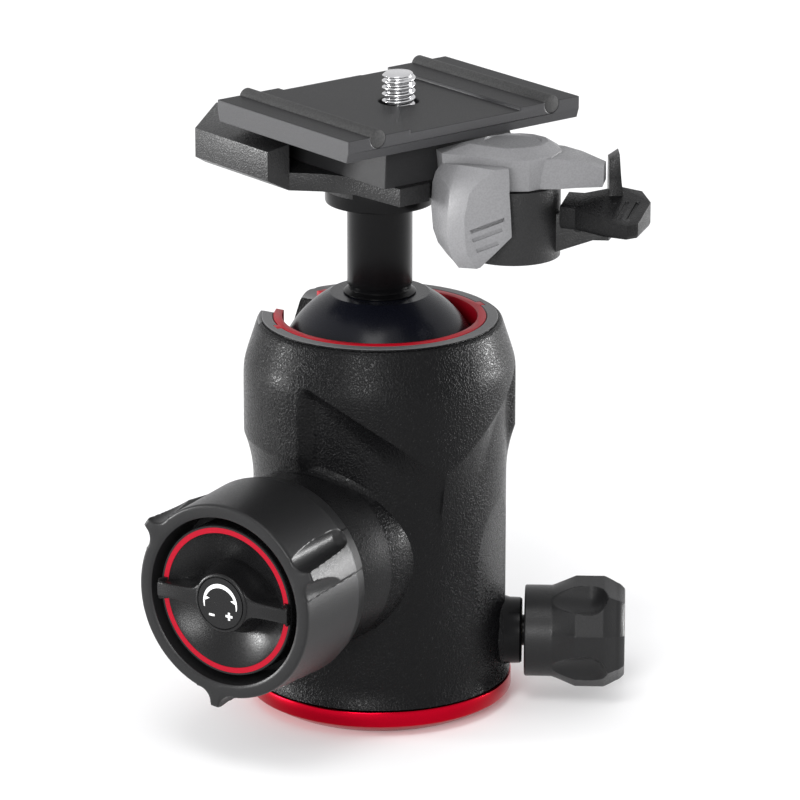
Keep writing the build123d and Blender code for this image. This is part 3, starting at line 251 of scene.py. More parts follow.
def grain_group():
    """Leathery cells: Height for a bump, Fleck for small changes of colour and gloss."""
    g = bpy.data.node_groups.new("leather_grain", "ShaderNodeTree")
    group_socket(g, "Grains per mm", "NodeSocketFloat", "INPUT", 2.0)
    group_socket(g, "Unevenness", "NodeSocketFloat", "INPUT", 0.4)
    group_socket(g, "Height", "NodeSocketFloat", "OUTPUT")
    group_socket(g, "Fleck", "NodeSocketFloat", "OUTPUT")
    n, link = g.nodes, g.links.new
    inp, out = n.new("NodeGroupInput"), n.new("NodeGroupOutput")
    place = n.new("ShaderNodeTexCoord")
    size = n.new("ShaderNodeMath"); size.operation = "MULTIPLY"; size.inputs[1].default_value = 1000.0
    link(inp.outputs["Grains per mm"], size.inputs[0])
    cells = n.new("ShaderNodeTexNoise")
    cells.inputs["Detail"].default_value = 1.6
    cells.inputs["Roughness"].default_value = 0.5
    cells.inputs["Distortion"].default_value = 0.35
    link(place.outputs["Object"], cells.inputs["Vector"])
    link(size.outputs[0], cells.inputs["Scale"])
    plateau = n.new("ShaderNodeMapRange"); plateau.interpolation_type = "SMOOTHSTEP"
    plateau.inputs["From Min"].default_value = 0.36
    plateau.inputs["From Max"].default_value = 0.62
    link(cells.outputs["Fac"], plateau.inputs["Value"])
    wide = n.new("ShaderNodeTexNoise")
    wide.inputs["Scale"].default_value = 160.0
    wide.inputs["Detail"].default_value = 2.0
    link(place.outputs["Object"], wide.inputs["Vector"])
    uneven = n.new("ShaderNodeMath"); uneven.operation = "MULTIPLY_ADD"
    less = n.new("ShaderNodeMath"); less.operation = "SUBTRACT"; less.inputs[0].default_value = 1.0
    link(inp.outputs["Unevenness"], less.inputs[1])
    link(wide.outputs["Fac"], uneven.inputs[0])
    link(inp.outputs["Unevenness"], uneven.inputs[1])
    link(less.outputs[0], uneven.inputs[2])
    deep = n.new("ShaderNodeMath"); deep.operation = "MULTIPLY"
    link(plateau.outputs["Result"], deep.inputs[0])
    link(uneven.outputs[0], deep.inputs[1])
    link(deep.outputs[0], out.inputs["Height"])
    link(plateau.outputs["Result"], out.inputs["Fleck"])
    return g


leather_grain = grain_group()
print("shader group:", leather_grain.name)

# %% One recipe for every finish
def finish(name, colour, rough, grain_per_mm, bump_mm, metallic=0.0, rough_swing=0.06,
           colour_swing=0.15, specular=0.5):
    """A finish: colour and gloss that vary with the grain, and a bump of bump_mm."""
    material = bpy.data.materials.new(name)
    material.use_nodes = True
    n, link = material.node_tree.nodes, material.node_tree.links.new
    shader = n["Principled BSDF"]
    shader.inputs["Metallic"].default_value = metallic
    shader.inputs["Specular IOR Level"].default_value = specular
    grain = n.new("ShaderNodeGroup"); grain.node_tree = leather_grain
    grain.inputs["Grains per mm"].default_value = grain_per_mm
    mix = n.new("ShaderNodeMix"); mix.data_type = "RGBA"
    low = [c * (1 - colour_swing) for c in colour]
    high = [min(1.0, c * (1 + colour_swing)) for c in colour]
    mix.inputs[6].default_value = (*low, 1)
    mix.inputs[7].default_value = (*high, 1)
    link(grain.outputs["Fleck"], mix.inputs[0])
    link(mix.outputs[2], shader.inputs["Base Color"])
    gloss = n.new("ShaderNodeMapRange")
    gloss.inputs["To Min"].default_value = rough + rough_swing
    gloss.inputs["To Max"].default_value = max(0.02, rough - rough_swing)
    link(grain.outputs["Fleck"], gloss.inputs["Value"])
    link(gloss.outputs["Result"], shader.inputs["Roughness"])
    bump = n.new("ShaderNodeBump")
    bump.inputs["Strength"].default_value = 1.0
    bump.inputs["Distance"].default_value = bump_mm * MM
    link(grain.outputs["Height"], bump.inputs["Height"])
    link(bump.outputs["Normal"], shader.inputs["Normal"])
    return material


BLACK = (0.0032, 0.0032, 0.0035)
wrinkle_coat = finish("black_wrinkle_coat", BLACK, 0.29, 2.7, 0.058, rough_swing=0.07, specular=0.11)
fine_coat = finish("black_fine_coat", BLACK, 0.34, 3.6, 0.022, rough_swing=0.07, specular=0.20)
grey_coat = finish("grey_fine_coat", (0.175, 0.175, 0.180), 0.38, 3.0, 0.012, rough_swing=0.06,
                   colour_swing=0.06, specular=0.35)
moulded_black = finish("black_moulded", (0.0090, 0.0090, 0.0094), 0.36, 4.6, 0.012, rough_swing=0.05,
                       specular=0.27)
dial_black = finish("black_dial", (0.0050, 0.0050, 0.0053), 0.30, 5.0, 0.008, rough_swing=0.05,
                    specular=0.24)
casting_coat = finish("black_casting_coat", (0.0100, 0.0100, 0.0103), 0.36, 3.0, 0.034, rough_swing=0.07,
                      specular=0.30)
ball_black = finish("ball_anodised", (0.003, 0.0034, 0.006), 0.26, 9.0, 0.0012, rough_swing=0.03,
                    specular=0.19)
stem_black = finish("stem_anodised", (0.0025, 0.0025, 0.0028), 0.24, 9.0, 0.001, rough_swing=0.03,
                    specular=0.12)
rim_grey = finish("rim_satin", (0.10, 0.10, 0.102), 0.45, 7.0, 0.006, rough_swing=0.04)
plate_grey = finish("plate_anodised", (0.036, 0.036, 0.038), 0.40, 8.0, 0.0015, rough_swing=0.04,
                    specular=0.25)
# a darker copy of the plate's anodising: painted shade for its top faces and its dovetail foot
plate_painted_shade = finish("plate_anodised_painted_shade", (0.020, 0.020, 0.0208), 0.50, 8.0, 0.0015, rough_swing=0.04,
                    specular=0.14)
red_metal = finish("red_anodised", (0.42, 0.002, 0.014), 0.24, 8.0, 0.001, metallic=1.0, rough_swing=0.03,
                   colour_swing=0.05)
red_plastic = finish("red_satin_plastic", (0.36, 0.001, 0.010), 0.38, 6.0, 0.002, rough_swing=0.03,
                     colour_swing=0.05, specular=0.15)
red_trim = finish("red_trim", (0.30, 0.001, 0.012), 0.42, 6.0, 0.001, rough_swing=0.03, colour_swing=0.04,
                  specular=0.12)
steel = finish("zinc_steel", (0.55, 0.55, 0.57), 0.30, 4.0, 0.002, metallic=1.0, colour_swing=0.05)
bright_steel = finish("bright_steel", (0.62, 0.62, 0.63), 0.22, 5.0, 0.001, metallic=1.0, rough_swing=0.04,
                      colour_swing=0.03)
brass = finish("turned_brass", (0.62, 0.44, 0.17), 0.30, 4.0, 0.002, metallic=1.0, colour_swing=0.06)
rubber = finish("soft_rubber", (0.022, 0.022, 0.022), 0.72, 3.0, 0.006, rough_swing=0.06)
pale_polymer = finish("pale_acetal", (0.72, 0.72, 0.69), 0.40, 4.0, 0.002, colour_swing=0.03)
mark_white = finish("white_print", (0.80, 0.80, 0.80), 0.45, 6.0, 0.001, colour_swing=0.02)
print("finishes:", len(bpy.data.materials))

# %% Finishes of the parts that keep their CAD shape
keep = {
    red_metal: ["base_disc"],
    red_plastic: ["liner_ring"],
    red_trim: ["dial_ring"],
    wrinkle_coat: ["housing"],
    casting_coat: ["clamp_casting"],
    fine_coat: ["catch_lever", "catch_pin"],
    grey_coat: ["clamp_lever"],
    ball_black: ["ball"],
    stem_black: ["stem", "pan_screw"],
    moulded_black: ["main_knob", "pan_knob"],
    dial_black: ["friction_dial", "dial_label"],
    plate_grey: ["plate"],
    rubber: ["grip_strips"],
    pale_polymer: ["pan_washer", "ball_cup"],
    brass: ["clamp_nut", "pan_nut", "pan_brake_pad", "lever_bush"],
    bright_steel: ["camera_screw"],
    steel: ["pan_hub", "thread_bush", "base_screws", "pan_retainer", "retainer_screws", "cup_carrier",
            "disc_spring", "wedge_plunger", "stem_bolt", "screw_clip", "lever_spring", "catch_spring",
            "clamp_screw", "friction_spring", "friction_stud", "lever_screw"],
}
for material, names in keep.items():
    for one in names:
        nodes[one].data.materials.clear()
        nodes[one].data.materials.append(material)
print("parts with a finish:", sum(len(v) for v in keep.values()), "of", len(nodes))

# %% [markdown]
# ## The housing
# The real housing is a casting with a wrinkle coat. Its wide barrel hangs down as a shield
# between the two knobs. Its crease is crisp near the main knob and softer near the pan knob,
# and it fades towards the shield's tip. A grid suits this, because its rows can follow the
# crease exactly. Boss, neck, notch and bores are then added or cut.

# %% Where the shield's crease runs
BODY_R, BARREL_R = 24.3, 26.05
BARREL_EDGE_Z, BARREL_FALL = 54.0, 9.5
SHIELD_ANGLE = -29.0        # the shield's tip, halfway between the knobs
SHIELD_HALF = 59.0          # degrees from the tip to the crease's upper ends
CREASE_V = (0.0, 10.0, 20.0, 24.0, 33.0, 41.0, 49.0, 59.0)
CREASE_Z = (51.6, 54.6, 58.0, 59.3, 62.0, 64.3, 66.3, 68.4)


def after(t, start):
    return (t - start + 180.0) % 360.0 - 180.0


def falls(x):
    """A fall that starts with a crease and ends softly."""
    x = np.clip(x, 0, 1)
    return x * (2 - x)


def crease_height(v):
    """Height of the crease, v degrees to either side of the shield's tip."""
    return np.interp(v, CREASE_V, CREASE_Z)


def drawn_in(t, z):
    """How far the coat lies inside the barrel, in mm, at an angle and a height."""
    step = BARREL_R - BODY_R
    v = np.abs(after(t, SHIELD_ANGLE))
    plain = falls((BARREL_EDGE_Z - z) / BARREL_FALL)
    width = np.interp(v, (0, SHIELD_HALF), (9.0, 2.6))
    # on the pan knob's side the crease fades out sooner
    width = width + np.where(after(t, SHIELD_ANGLE) > 0, 6.0 * (1 - smoothstep((v - 16.0) / 22.0)), 0.0)
    hung = falls((crease_height(v) - z) / width)
    inside = 1 - smoothstep((v - SHIELD_HALF + 1.0) / 7.0)
    return step * (hung * inside + plain * (1 - inside))


def housing_skin():
    cols = 400
    t = np.linspace(-180, 180, cols, endpoint=False)
    guide = crease_height(np.abs(after(t, SHIELD_ANGLE)))
    lower = np.minimum(BARREL_EDGE_Z, guide - 1.5)
    rows = []
    for z in np.linspace(5.5, 10.0, 8):
        rows.append(np.full(cols, z))
    for z in np.linspace(11.0, 42.0, 14):
        rows.append(np.full(cols, z))
    for s in np.linspace(0, 1, 22)[:-1]:
        rows.append(42.6 + s * (lower - 42.6))
    for s in np.linspace(0, 1, 18)[:-1]:
        rows.append(lower + s * (guide - lower))
    for s in np.linspace(0, 1, 16):
        rows.append(guide + s * (71.0 - guide))
    for z in np.linspace(71.6, 75.4, 8):
        rows.append(np.full(cols, z))
    z = np.array(rows)
    tt = np.repeat(t[None, :], len(rows), 0)
    bend = 0.8
    radius = BARREL_R - 0.327 * bend * np.logaddexp(0, (z - 67.5) / bend)
    radius = radius - drawn_in(tt, z) + 1.0 * np.clip((9.5 - z) / 4.0, 0, 1) ** 2
    rim = [(0.16, 75.75), (0.42, 75.98), (0.75, 76.02), (0.95, 75.98), (0.98, 76.30), (1.10, 76.40)]
    top_r = radius[-1]
    radius = np.vstack([radius] + [top_r[None, :] - inset for inset, _ in rim])
    z = np.vstack([z] + [np.full((1, cols), height) for _, height in rim])
    tt = np.repeat(t[None, :], z.shape[0], 0)
    points = np.stack([radius * np.cos(np.radians(tt)), radius * np.sin(np.radians(tt)), z], -1)
    return grid_piece("housing_shell", points)


housing = housing_skin()
print("housing skin:", len(housing.data.polygons), "faces")

# %% Boss, neck, notch and bores
boss_rows = [(18.2, 12), (17.9, 21.0), (17.35, 23.0), (17.0, 25.2), (16.3, 28.0), (15.5, 30.6),
             (15.1, 31.8), (15.0, 33.0), (15.0, 36.0)]
boss = placed(lathe("boss", boss_rows, 160), knob_place)
# the scoop is a wide cylinder laid across the body's side, which it hollows a little
SCOOP_OUT, SCOOP_BEND_R, SCOOP_Z = 22.9, 62.0, 29.0
scoop = lathe("scoop", [(SCOOP_BEND_R, -60), (SCOOP_BEND_R, 60)], 480)
scoop_place = Matrix.Translation(((SCOOP_OUT + SCOOP_BEND_R) * MM, 0, SCOOP_Z * MM))
placed(scoop, Matrix.Rotation(radians(12.0), 4, "Z") @ scoop_place @ Matrix.Rotation(radians(90), 4, "X"))
neck_rows = [(7.2, 15), (7.2, 23.4), (6.75, 24.2), (6.45, 25.2), (6.4, 27.2), (6.1, 27.6)]
neck = placed(lathe("neck", neck_rows, 72), pan_place)
cavity = lathe("cavity", [(15.3, 4), (15.3, 19.3), (18.0, 19.3), (18.0, 39.2), (20.3, 39.2), (20.3, 76.15),
                          (20.6, 76.5), (20.6, 80)], 200)
nut_seat = placed(lathe("nut_seat", [(7.05, 10), (7.05, 40)], 64), knob_place)
pan_seat = placed(lathe("pan_seat", [(4.55, 10), (4.55, 30)], 48), pan_place)


NOTCH_R = 7.05
NOTCH_START, NOTCH_REACH = 8.0, 40.0
SHOULDER_R, RIM_Z = 3.0, 76.4


def notch_tool():
    """The drop notch, a round-bottomed slot with rounded shoulders."""
    arc = [(NOTCH_R * cos(radians(a)), BALL_Z + NOTCH_R * sin(radians(a))) for a in range(180, 361, 6)]
    bend = [(-SHOULDER_R * cos(radians(a)), SHOULDER_R * sin(radians(a))) for a in range(0, 91, 10)]
    wide, foot = NOTCH_R + SHOULDER_R, RIM_Z - SHOULDER_R
    right = [(wide + x, foot + z) for x, z in bend] + [(wide, 90.0)]
    left = [(-x, z) for x, z in right][::-1]
    tool = prism("notch", left + arc + right, NOTCH_START, NOTCH_REACH)
    # the outline's own (x, y) become (y, z), and the block runs out along -X
    place = Matrix(((0, 0, -1, 0), (1, 0, 0, 0), (0, 1, 0, 0), (0, 0, 0, 1)))
    return outward(placed(tool, place))


def boss_fillet():
    """A thin fillet that follows the curve where the boss leaves the round body."""
    phi = np.linspace(0, 2 * pi, 160, endpoint=False)
    rows = []
    for outwards, lift in ((-1.4, -1.2), (-0.35, 1.5), (-0.12, 0.95), (0.15, 0.5), (0.55, 0.18), (1.2, 0.02),
                           (1.2, -0.6)):
        radius = 17.35 + outwards
        x = radius * np.cos(phi)
        rows.append(np.stack([x, radius * np.sin(phi), np.sqrt(BODY_R ** 2 - x ** 2) + lift], -1))
    return placed(grid_piece("boss_fillet", np.array(rows), wrap_rows=True), knob_place)


outward(housing)
cut(housing, outward(scoop))
cut(housing, outward(boss), "UNION")
cut(housing, outward(boss_fillet()), "UNION")
cut(housing, outward(neck), "UNION")
cut(housing, outward(cavity))
cut(housing, notch_tool())
cut(housing, outward(nut_seat))
cut(housing, outward(pan_seat))
for angle in (-125.5, 54.5):
    key = prism("key", [(19.0, -1.25), (21.3, -1.25), (21.3, 1.25), (19.0, 1.25)], 73.3, 80.0)
    cut(housing, outward(placed(key, Matrix.Rotation(radians(angle), 4, "Z"))))
settle(housing, 32)
dressed(housing, "body", "black_wrinkle_paint", wrinkle_coat, "housing")

# %% The machined rim keeps a satin face, the boss a finer coat
housing.data.materials.append(rim_grey)
housing.data.materials.append(fine_coat)
housing.data.materials.append(stem_black)
SHOULDER_RING = (412.0, 538.0)      # square mm from the axis: the notch's shoulders only
NECK_R, NECK_START = 6.7, 23.6
pan_way = pan_place.inverted()


def on_rim(c, normal):
    top = c.z > RIM_Z - 0.35 and abs(normal.z) > 0.6
    near = SHOULDER_RING[0] < c.x ** 2 + c.y ** 2 < SHOULDER_RING[1]
    return top or (near and c.z > 73.0 and c.x < -17 and normal.z > 0.3)


for face in housing.data.polygons:
    on_pan = pan_way @ face.center / MM
    c = face.center / MM
    off_axis = sqrt(c.x ** 2 + (c.z - KNOB_Z) ** 2)
    if on_rim(c, face.normal):
        face.material_index = 1
    elif off_axis < 17.3 and -c.y > sqrt(BODY_R ** 2 - c.x ** 2) + 0.9:
        face.material_index = 2
    elif sqrt(on_pan.x ** 2 + on_pan.y ** 2) < NECK_R and on_pan.z > NECK_START:
        face.material_index = 3
print("rim faces:", sum(f.material_index == 1 for f in housing.data.polygons))

# %% [markdown]
# ## The main knob
# A moulded grip: nearly a cylinder, with three ears that are flush with the front and a
# groove on either side of each, where fingertips rest. Radius depends only on the angle and
# the distance along the axis, so the whole outside is one formula sampled on a grid.

# %% The knob's outer radius
KNOB_FRONT, KNOB_BACK, KNOB_EDGE = 53.6, 34.0, 37.4
EAR_ANGLES = (24.0, 144.0, 264.0)
EAR_R, EAR_START = 21.35, 36.0
FRONT_R, BACK_R = 18.7, 19.4
GROOVE_D = (34.0, 36.0, 37.2, 39.0, 44.0, 50.0, 53.6)
GROOVE_FLOOR = (21.6, 20.1, 19.0, 18.3, 18.0, 18.4, 18.65)
FLANK_FLOOR = (23.0, 22.4, 22.0, 21.4, 20.2, 19.1, 18.65)    # the other side of each ear


def knob_radius(t, d):
    """Outer radius in mm at an angle in degrees and a distance along the axis."""
    way = np.clip((KNOB_FRONT - d) / (KNOB_FRONT - KNOB_EDGE), 0, 1)
    back = np.clip((KNOB_EDGE - d) / (KNOB_EDGE - KNOB_BACK), 0, 1)
    out = FRONT_R + (BACK_R - FRONT_R) * way - 0.8 * back
    crest = EAR_R - 1.75 * way - 0.9 * back
    ball = np.interp(d, (EAR_START, KNOB_FRONT), (2.0, 3.0))
    middle = np.radians(np.interp(d, (EAR_START, KNOB_FRONT), (11.5, 10.3)))
    for ear in EAR_ANGLES:
        grooved = after(t, ear) > 0
        floor = np.where(grooved, np.interp(d, GROOVE_D, GROOVE_FLOOR), np.interp(d, GROOVE_D, FLANK_FLOOR))
        wide = np.where(grooved, np.interp(d, (EAR_START, KNOB_FRONT), (14.0, 9.6)),
                        np.interp(d, (EAR_START, KNOB_FRONT), (10.0, 9.6)))
        block = np.radians(wide)
        a = np.radians(np.abs(after(t, ear)))
        out = np.maximum(out, crest - 40.0 * np.maximum(a - block, 0))
        # each groove is a round-nosed cut beside the ear
        centre = floor + ball
        b = a - middle
        inside = ball ** 2 - (centre * np.sin(b)) ** 2
        hit = centre * np.cos(b) - np.sqrt(np.maximum(inside, 0))
        out = np.where((inside > 0) & (np.abs(b) < 0.5), np.minimum(out, hit), out)
    return out


def knob_angles():
    """Angles round the knob, closer together beside the ears."""
    fine = [ear + a for ear in EAR_ANGLES for a in np.arange(-20.0, 20.0, 0.5)]
    wide = [ear + a for ear in EAR_ANGLES for a in np.arange(20.0, 100.0, 2.0)]
    return np.sort(np.array(fine + wide) % 360.0)


def main_knob_piece():
    t = knob_angles()
    inner = [(15.7, 34.0), (15.7, 40.0), (4.1, 40.0), (4.1, 44.0), (16.1, 44.0), (16.1, 53.0), (16.2, 53.35),
             (16.5, 53.55)]
    rows_r = [np.full_like(t, r) for r, _ in inner]
    rows_z = [z for _, z in inner]
    edge = knob_radius(t, np.full_like(t, KNOB_FRONT))
    for share in (0.25, 0.6):
        rows_r.append(16.5 + (edge - 0.7 - 16.5) * share)
        rows_z.append(KNOB_FRONT)
    for inset, setback in ((0.6, 0.0), (0.34, 0.05), (0.15, 0.17), (0.04, 0.36), (0.0, 0.6)):
        rows_r.append(knob_radius(t, np.full_like(t, KNOB_FRONT - setback)) - inset)
        rows_z.append(KNOB_FRONT - setback)
    near, far = np.linspace(KNOB_FRONT - 1.0, 41.0, 40), np.linspace(40.7, KNOB_BACK + 0.3, 44)
    for d in np.concatenate([near, far]):
        rows_r.append(knob_radius(t, np.full_like(t, d)))
        rows_z.append(d)
    rows_r.append(knob_radius(t, np.full_like(t, KNOB_BACK)) - 0.3)
    rows_z.append(KNOB_BACK)
    return radial_piece("main_knob_grip", t, rows_r, rows_z, wrap_rows=True)


knob = settle(outward(placed(main_knob_piece(), knob_place)), 38)
dressed(knob, "lock_knob", "black_plastic", moulded_black, "main_knob")

# %% [markdown]
# ## The friction dial
# A dish with a wing bar across it, to turn with finger and thumb. The bar's flanks swell
# into the hub, so its outline is drawn as one curve round the middle: the larger of the hub
# circle and the bar, blended. The same curve, wider and lower, gives the foot of the flanks.

# %% Dish, wing bar and hub
DIAL_FRONT, DIAL_BACK = 52.6, 44.6
DISH_BALL = 20.7
DISH_DEPTH = 4.6
WING_BLEND = 3.4        # how tightly the bar's flanks turn into the hub


def dish_height(r):
    return DIAL_FRONT - DISH_DEPTH + DISH_BALL - np.sqrt(np.maximum(DISH_BALL ** 2 - r ** 2, 1.0))


def wing_outline(hub, half, reach, count=240):
    """Points round the wing bar: hub circle and bar, blended into each other."""
    a = np.linspace(0, 2 * pi, count, endpoint=False)
    a = a - 0.42 * np.sin(2 * a)          # more points towards the bar's ends
    across = half / np.maximum(np.abs(np.sin(a)), 1e-3)
    r = (hub ** WING_BLEND + across ** WING_BLEND) ** (1 / WING_BLEND)
    r = np.minimum(r, reach)
    return r * np.cos(a), r * np.sin(a)


dish_rows = [(0.02, DIAL_BACK + 2.2), (4.9, DIAL_BACK + 2.2), (4.9, DIAL_BACK), (14.3, DIAL_BACK),
             (14.5, DIAL_BACK + 0.3), (14.5, DIAL_FRONT - 0.25), (14.35, DIAL_FRONT), (14.02, DIAL_FRONT),
             (14.0, DIAL_FRONT - 0.8), (12.98, DIAL_FRONT - 0.8), (12.95, DIAL_FRONT - 0.02)]
dish_rows += [(r, float(dish_height(r))) for r in np.linspace(12.7, 0.6, 26)]
dish_rows += [(0.02, DIAL_FRONT - DISH_DEPTH)]
dish = outward(placed(lathe("friction_dial_dish", dish_rows, 192), knob_place))
settle(dish, 30)
dressed(dish, "dial", "black_plastic", dial_black, "friction_dial")

levels = [((5.50, 1.20, 14.30), 54.10, 0), ((5.62, 1.32, 14.40), 54.03, 0), ((5.70, 1.40, 14.46), 53.8, 0),
          ((6.0, 1.52, 14.46), 52.3, 0.25), ((6.5, 1.72, 14.46), 50.6, 0.7), ((7.2, 2.0, 14.46), 49.4, 1.0)]
rows = []
for (hub_r, half_w, reach), z, follow in levels:
    x, y = wing_outline(hub_r, half_w, reach)
    floor_z = dish_height(np.hypot(x, y)) - 0.12
    height = np.maximum(z, floor_z) if follow < 1 else floor_z
    rows.append(np.stack([x, y, height], -1))
rows = [rows[0] * (0.55, 0.55, 1.0)] + rows + [rows[-1] - (0, 0, 1.2)]
wing = outward(placed(grid_piece("friction_wing", np.array(rows)), knob_place))
settle(wing, 50)
dressed(wing, "dial", "black_plastic", dial_black)

hub_rows = [(0.02, 50.0), (5.75, 50.0), (5.75, 53.9), (5.68, 54.2), (5.45, 54.4), (5.15, 54.43),
            (5.02, 54.28), (5.0, 54.05), (0.02, 54.05)]
hub = outward(placed(lathe("friction_hub", hub_rows, 128), knob_place))
settle(hub, 50)
dressed(hub, "dial", "black_plastic", dial_black)

# %% [markdown]
# ## The dial's mark
# A curved arrow with a minus and a plus is a common sign for looser and tighter. It is
# a thin raised print, so it is cut from flat outlines and given a hair of thickness.

# %% Arrow, minus and plus
def print_shape(name, outline, low=54.38, high=54.44):
    return placed(prism(name, outline, low, high), knob_place)


arc = np.radians(np.linspace(198, -14, 44))
fat = 0.78 * np.sin(np.linspace(0.10, pi - 0.10, 44)) ** 0.75
outer_arc = [(3.75 * cos(a), 3.75 * sin(a)) for a in arc]
inner_arc = [((3.75 - f) * cos(a), (3.75 - f) * sin(a)) for a, f in zip(arc, fat)][::-1]
marks = [print_shape("mark_arrow", outer_arc + inner_arc)]
for tip, turn in ((181.0, 1), (3.0, -1)):
    a = radians(tip)
    b = radians(tip - turn * 17.0)
    marks.append(print_shape("mark_barb", [(3.7 * cos(a), 3.7 * sin(a)), (3.1 * cos(b), 3.1 * sin(b)),
                                           (2.45 * cos(b), 2.45 * sin(b))]))
marks.append(print_shape("mark_minus", [(-2.5, -2.75), (-1.3, -2.75), (-1.3, -2.35), (-2.5, -2.35)]))
p, w = (1.95, -2.2), 0.22
plus = [(-w, -0.75), (w, -0.75), (w, -w), (0.75, -w), (0.75, w), (w, w), (w, 0.75), (-w, 0.75), (-w, w),
        (-0.75, w), (-0.75, -w), (-w, -w)]
marks.append(print_shape("mark_plus", [(p[0] + x, p[1] + y) for x, y in plus]))
together = bmesh.new()
for one in marks:
    together.from_mesh(one.data)
    bpy.data.objects.remove(one)
print_mesh = bpy.data.meshes.new("dial_print")
together.to_mesh(print_mesh)
together.free()
dial_print = bpy.data.objects.new("dial_print", print_mesh)
bpy.context.scene.collection.objects.link(dial_print)
outward(dial_print)
dressed(dial_print, "dial", "label", mark_white)

# %% [markdown]
# ## The pan knob
# Four ridges stand between four tongue-shaped scoops that run out of the collar. The radius
# is the smaller of the knob's own envelope and the scoops, again sampled on a grid, so the
# ridges come out crisp.

# %% Envelope and scoops
PAN_START, PAN_END, PAN_TURN = 28.1, 47.5, -14.0
PAN_COLLAR_R, PAN_RIDGE_R = 8.85, 10.8
SCOOP_R, SCOOP_FLOOR, SCOOP_TIP = 6.4, 8.15, 40.4


def pan_radius(t, d):
    # an octagon whose corners are the four ridges and the four scoops' middles
    u = np.abs(after(2 * (t - PAN_TURN), 0.0) / 2)
    u = np.minimum(u, 90.0 - u)
    eight = PAN_RIDGE_R * cos(radians(22.5)) / np.cos(np.radians(u - 22.5))
    envelope = PAN_COLLAR_R + (eight - PAN_COLLAR_R) * np.clip((d - 33.4) / 4.6, 0, 1)
    envelope = envelope - 1.3 * np.clip((d - 43.4) / 2.6, 0, 1) ** 1.2
    envelope = envelope - 1.2 * np.clip((d - 46.0) / 1.5, 0, 1) ** 1.6
    centre = np.interp(d, (33.0, 41.0), (8.95, SCOOP_FLOOR)) + SCOOP_R
    out = envelope
    for k in range(4):
        b = np.radians(after(t, PAN_TURN + 45.0 + 90.0 * k))
        end = np.clip((d - SCOOP_TIP) / SCOOP_R, 0, 1) * 1.25
        reach = SCOOP_R * np.sqrt(np.clip(1 - end ** 2, 0, 1))
        inside = reach ** 2 - (centre * np.sin(b)) ** 2
        hit = centre * np.cos(b) - np.sqrt(np.maximum(inside, 0))
        hit = np.where((inside > 0) & (np.abs(b) < 1.2), hit, 99.0)
        out = np.minimum(out, hit)
    return out


def pan_knob_piece():
    t = np.linspace(0, 360, 288, endpoint=False)
    rows_r = [np.full_like(t, r) for r in (3.06, 3.06, 8.4, 8.7, PAN_COLLAR_R)]
    rows_z = [36.0, PAN_START, PAN_START, 28.18, 28.4]
    for d in np.linspace(28.8, PAN_END - 0.06, 84):
        rows_r.append(pan_radius(t, np.full_like(t, d)))
        rows_z.append(d)
    end = pan_radius(t, np.full_like(t, PAN_END))
    for share, z in ((0.97, PAN_END), (0.6, PAN_END + 0.0), (0.01, PAN_END)):
        rows_r.append(end * share)
        rows_z.append(z)
    return radial_piece("pan_knob_grip", t, rows_r, rows_z)


pan_grip = settle(outward(placed(pan_knob_piece(), pan_place)), 34)
dressed(pan_grip, "pan_lock", "black_plastic", moulded_black, "pan_knob")

# %% [markdown]
# ## The camera screw
# A rolled quarter inch thread, 1.27 mm a turn. Seen as a grid, a thread is a radius that
# depends on height minus the turn, so it needs no sweep and closes by itself.

# %% Rolled thread
SCREW_X, SCREW_Y = 2.3, 2.7
SCREW_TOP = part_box("camera_screw")[1][2] / MM


def screw_piece():
    t = np.linspace(0, 360, 72, endpoint=False)
    foot = [(0.02, 108.0), (6.3, 108.0), (6.5, 108.2), (6.5, 110.2), (6.3, 110.4), (2.6, 110.4),
            (2.6, 117.0)]
    rows_r = [np.full_like(t, r) for r, _ in foot]
    rows_z = [z for _, z in foot]
    for z in np.linspace(117.2, SCREW_TOP - 0.05, 92):
        phase = ((z - 117.0) / 1.27 - t / 360.0) % 1.0
        tooth = 1 - np.abs(2 * phase - 1)
        tooth = np.clip((tooth - 0.12) / 0.76, 0, 1)
        tooth = tooth * tooth * (3 - 2 * tooth)
        r = 2.62 + 0.555 * tooth
        r = np.minimum(r, 2.55 + np.clip((z - 117.2) * 1.2, 0, 1))
        r = np.minimum(r, 2.45 + np.clip((SCREW_TOP - 0.02 - z) * 1.1, 0, 1))
        rows_r.append(r)
        rows_z.append(z)
    for share, z in ((2.3, SCREW_TOP), (0.02, SCREW_TOP)):
        rows_r.append(np.full_like(t, share))
        rows_z.append(z)
    return radial_piece("camera_screw_thread", t, rows_r, rows_z, (SCREW_X, SCREW_Y))


screw = settle(outward(placed(screw_piece(), head_turn)), 80)
dressed(screw, "mount_screw", "bright_steel", bright_steel, "camera_screw")

# %% [markdown]
# ## Machined and cast pieces with broken edges
# No real edge is perfectly sharp, and the thin bright line that a broken edge catches is
# most of what makes a part look real. Copies of the CAD pieces get their triangles merged
# and their edges rounded by a Bevel modifier.

# %% Rounded copies
def rounded_node(node, name, width, body, slot, material, angle=28.0, segments=2, smooth=40.0):
    piece = rounded(merged_copy(name, node), width, angle, segments, smooth)
    return dressed(piece, body, slot, material, node)


PLATE_FOOT_Z = 114.6        # below this, the plate is the dovetail that the jaws hold
rounded_node("plate", "plate_body", 0.28, "head", "grey_anodised", plate_grey, angle=20, smooth=14)
plate = bpy.data.objects["plate_body"]
plate.data.materials.append(plate_painted_shade)
# the second slot is painted shade: the top faces and the dovetail foot below PLATE_FOOT_Z get the darker
# copy of the plate's anodising
for face in plate.data.polygons:
    if face.normal.z > 0.5 or face.center.z < PLATE_FOOT_Z * MM:
        face.material_index = 1
rounded_node("grip_strips", "plate_strips", 0.15, "head", "rubber", rubber, angle=40)
rounded_node("clamp_casting", "clamp_cast_body", 0.7, "head", "black_wrinkle_paint", casting_coat,
             segments=3)
rounded_node("base_disc", "base_ring", 0.25, "base", "red_anodised", red_metal, angle=20)
rounded_node("liner_ring", "liner_body", 0.12, "body", "red_polymer", red_plastic, angle=40)

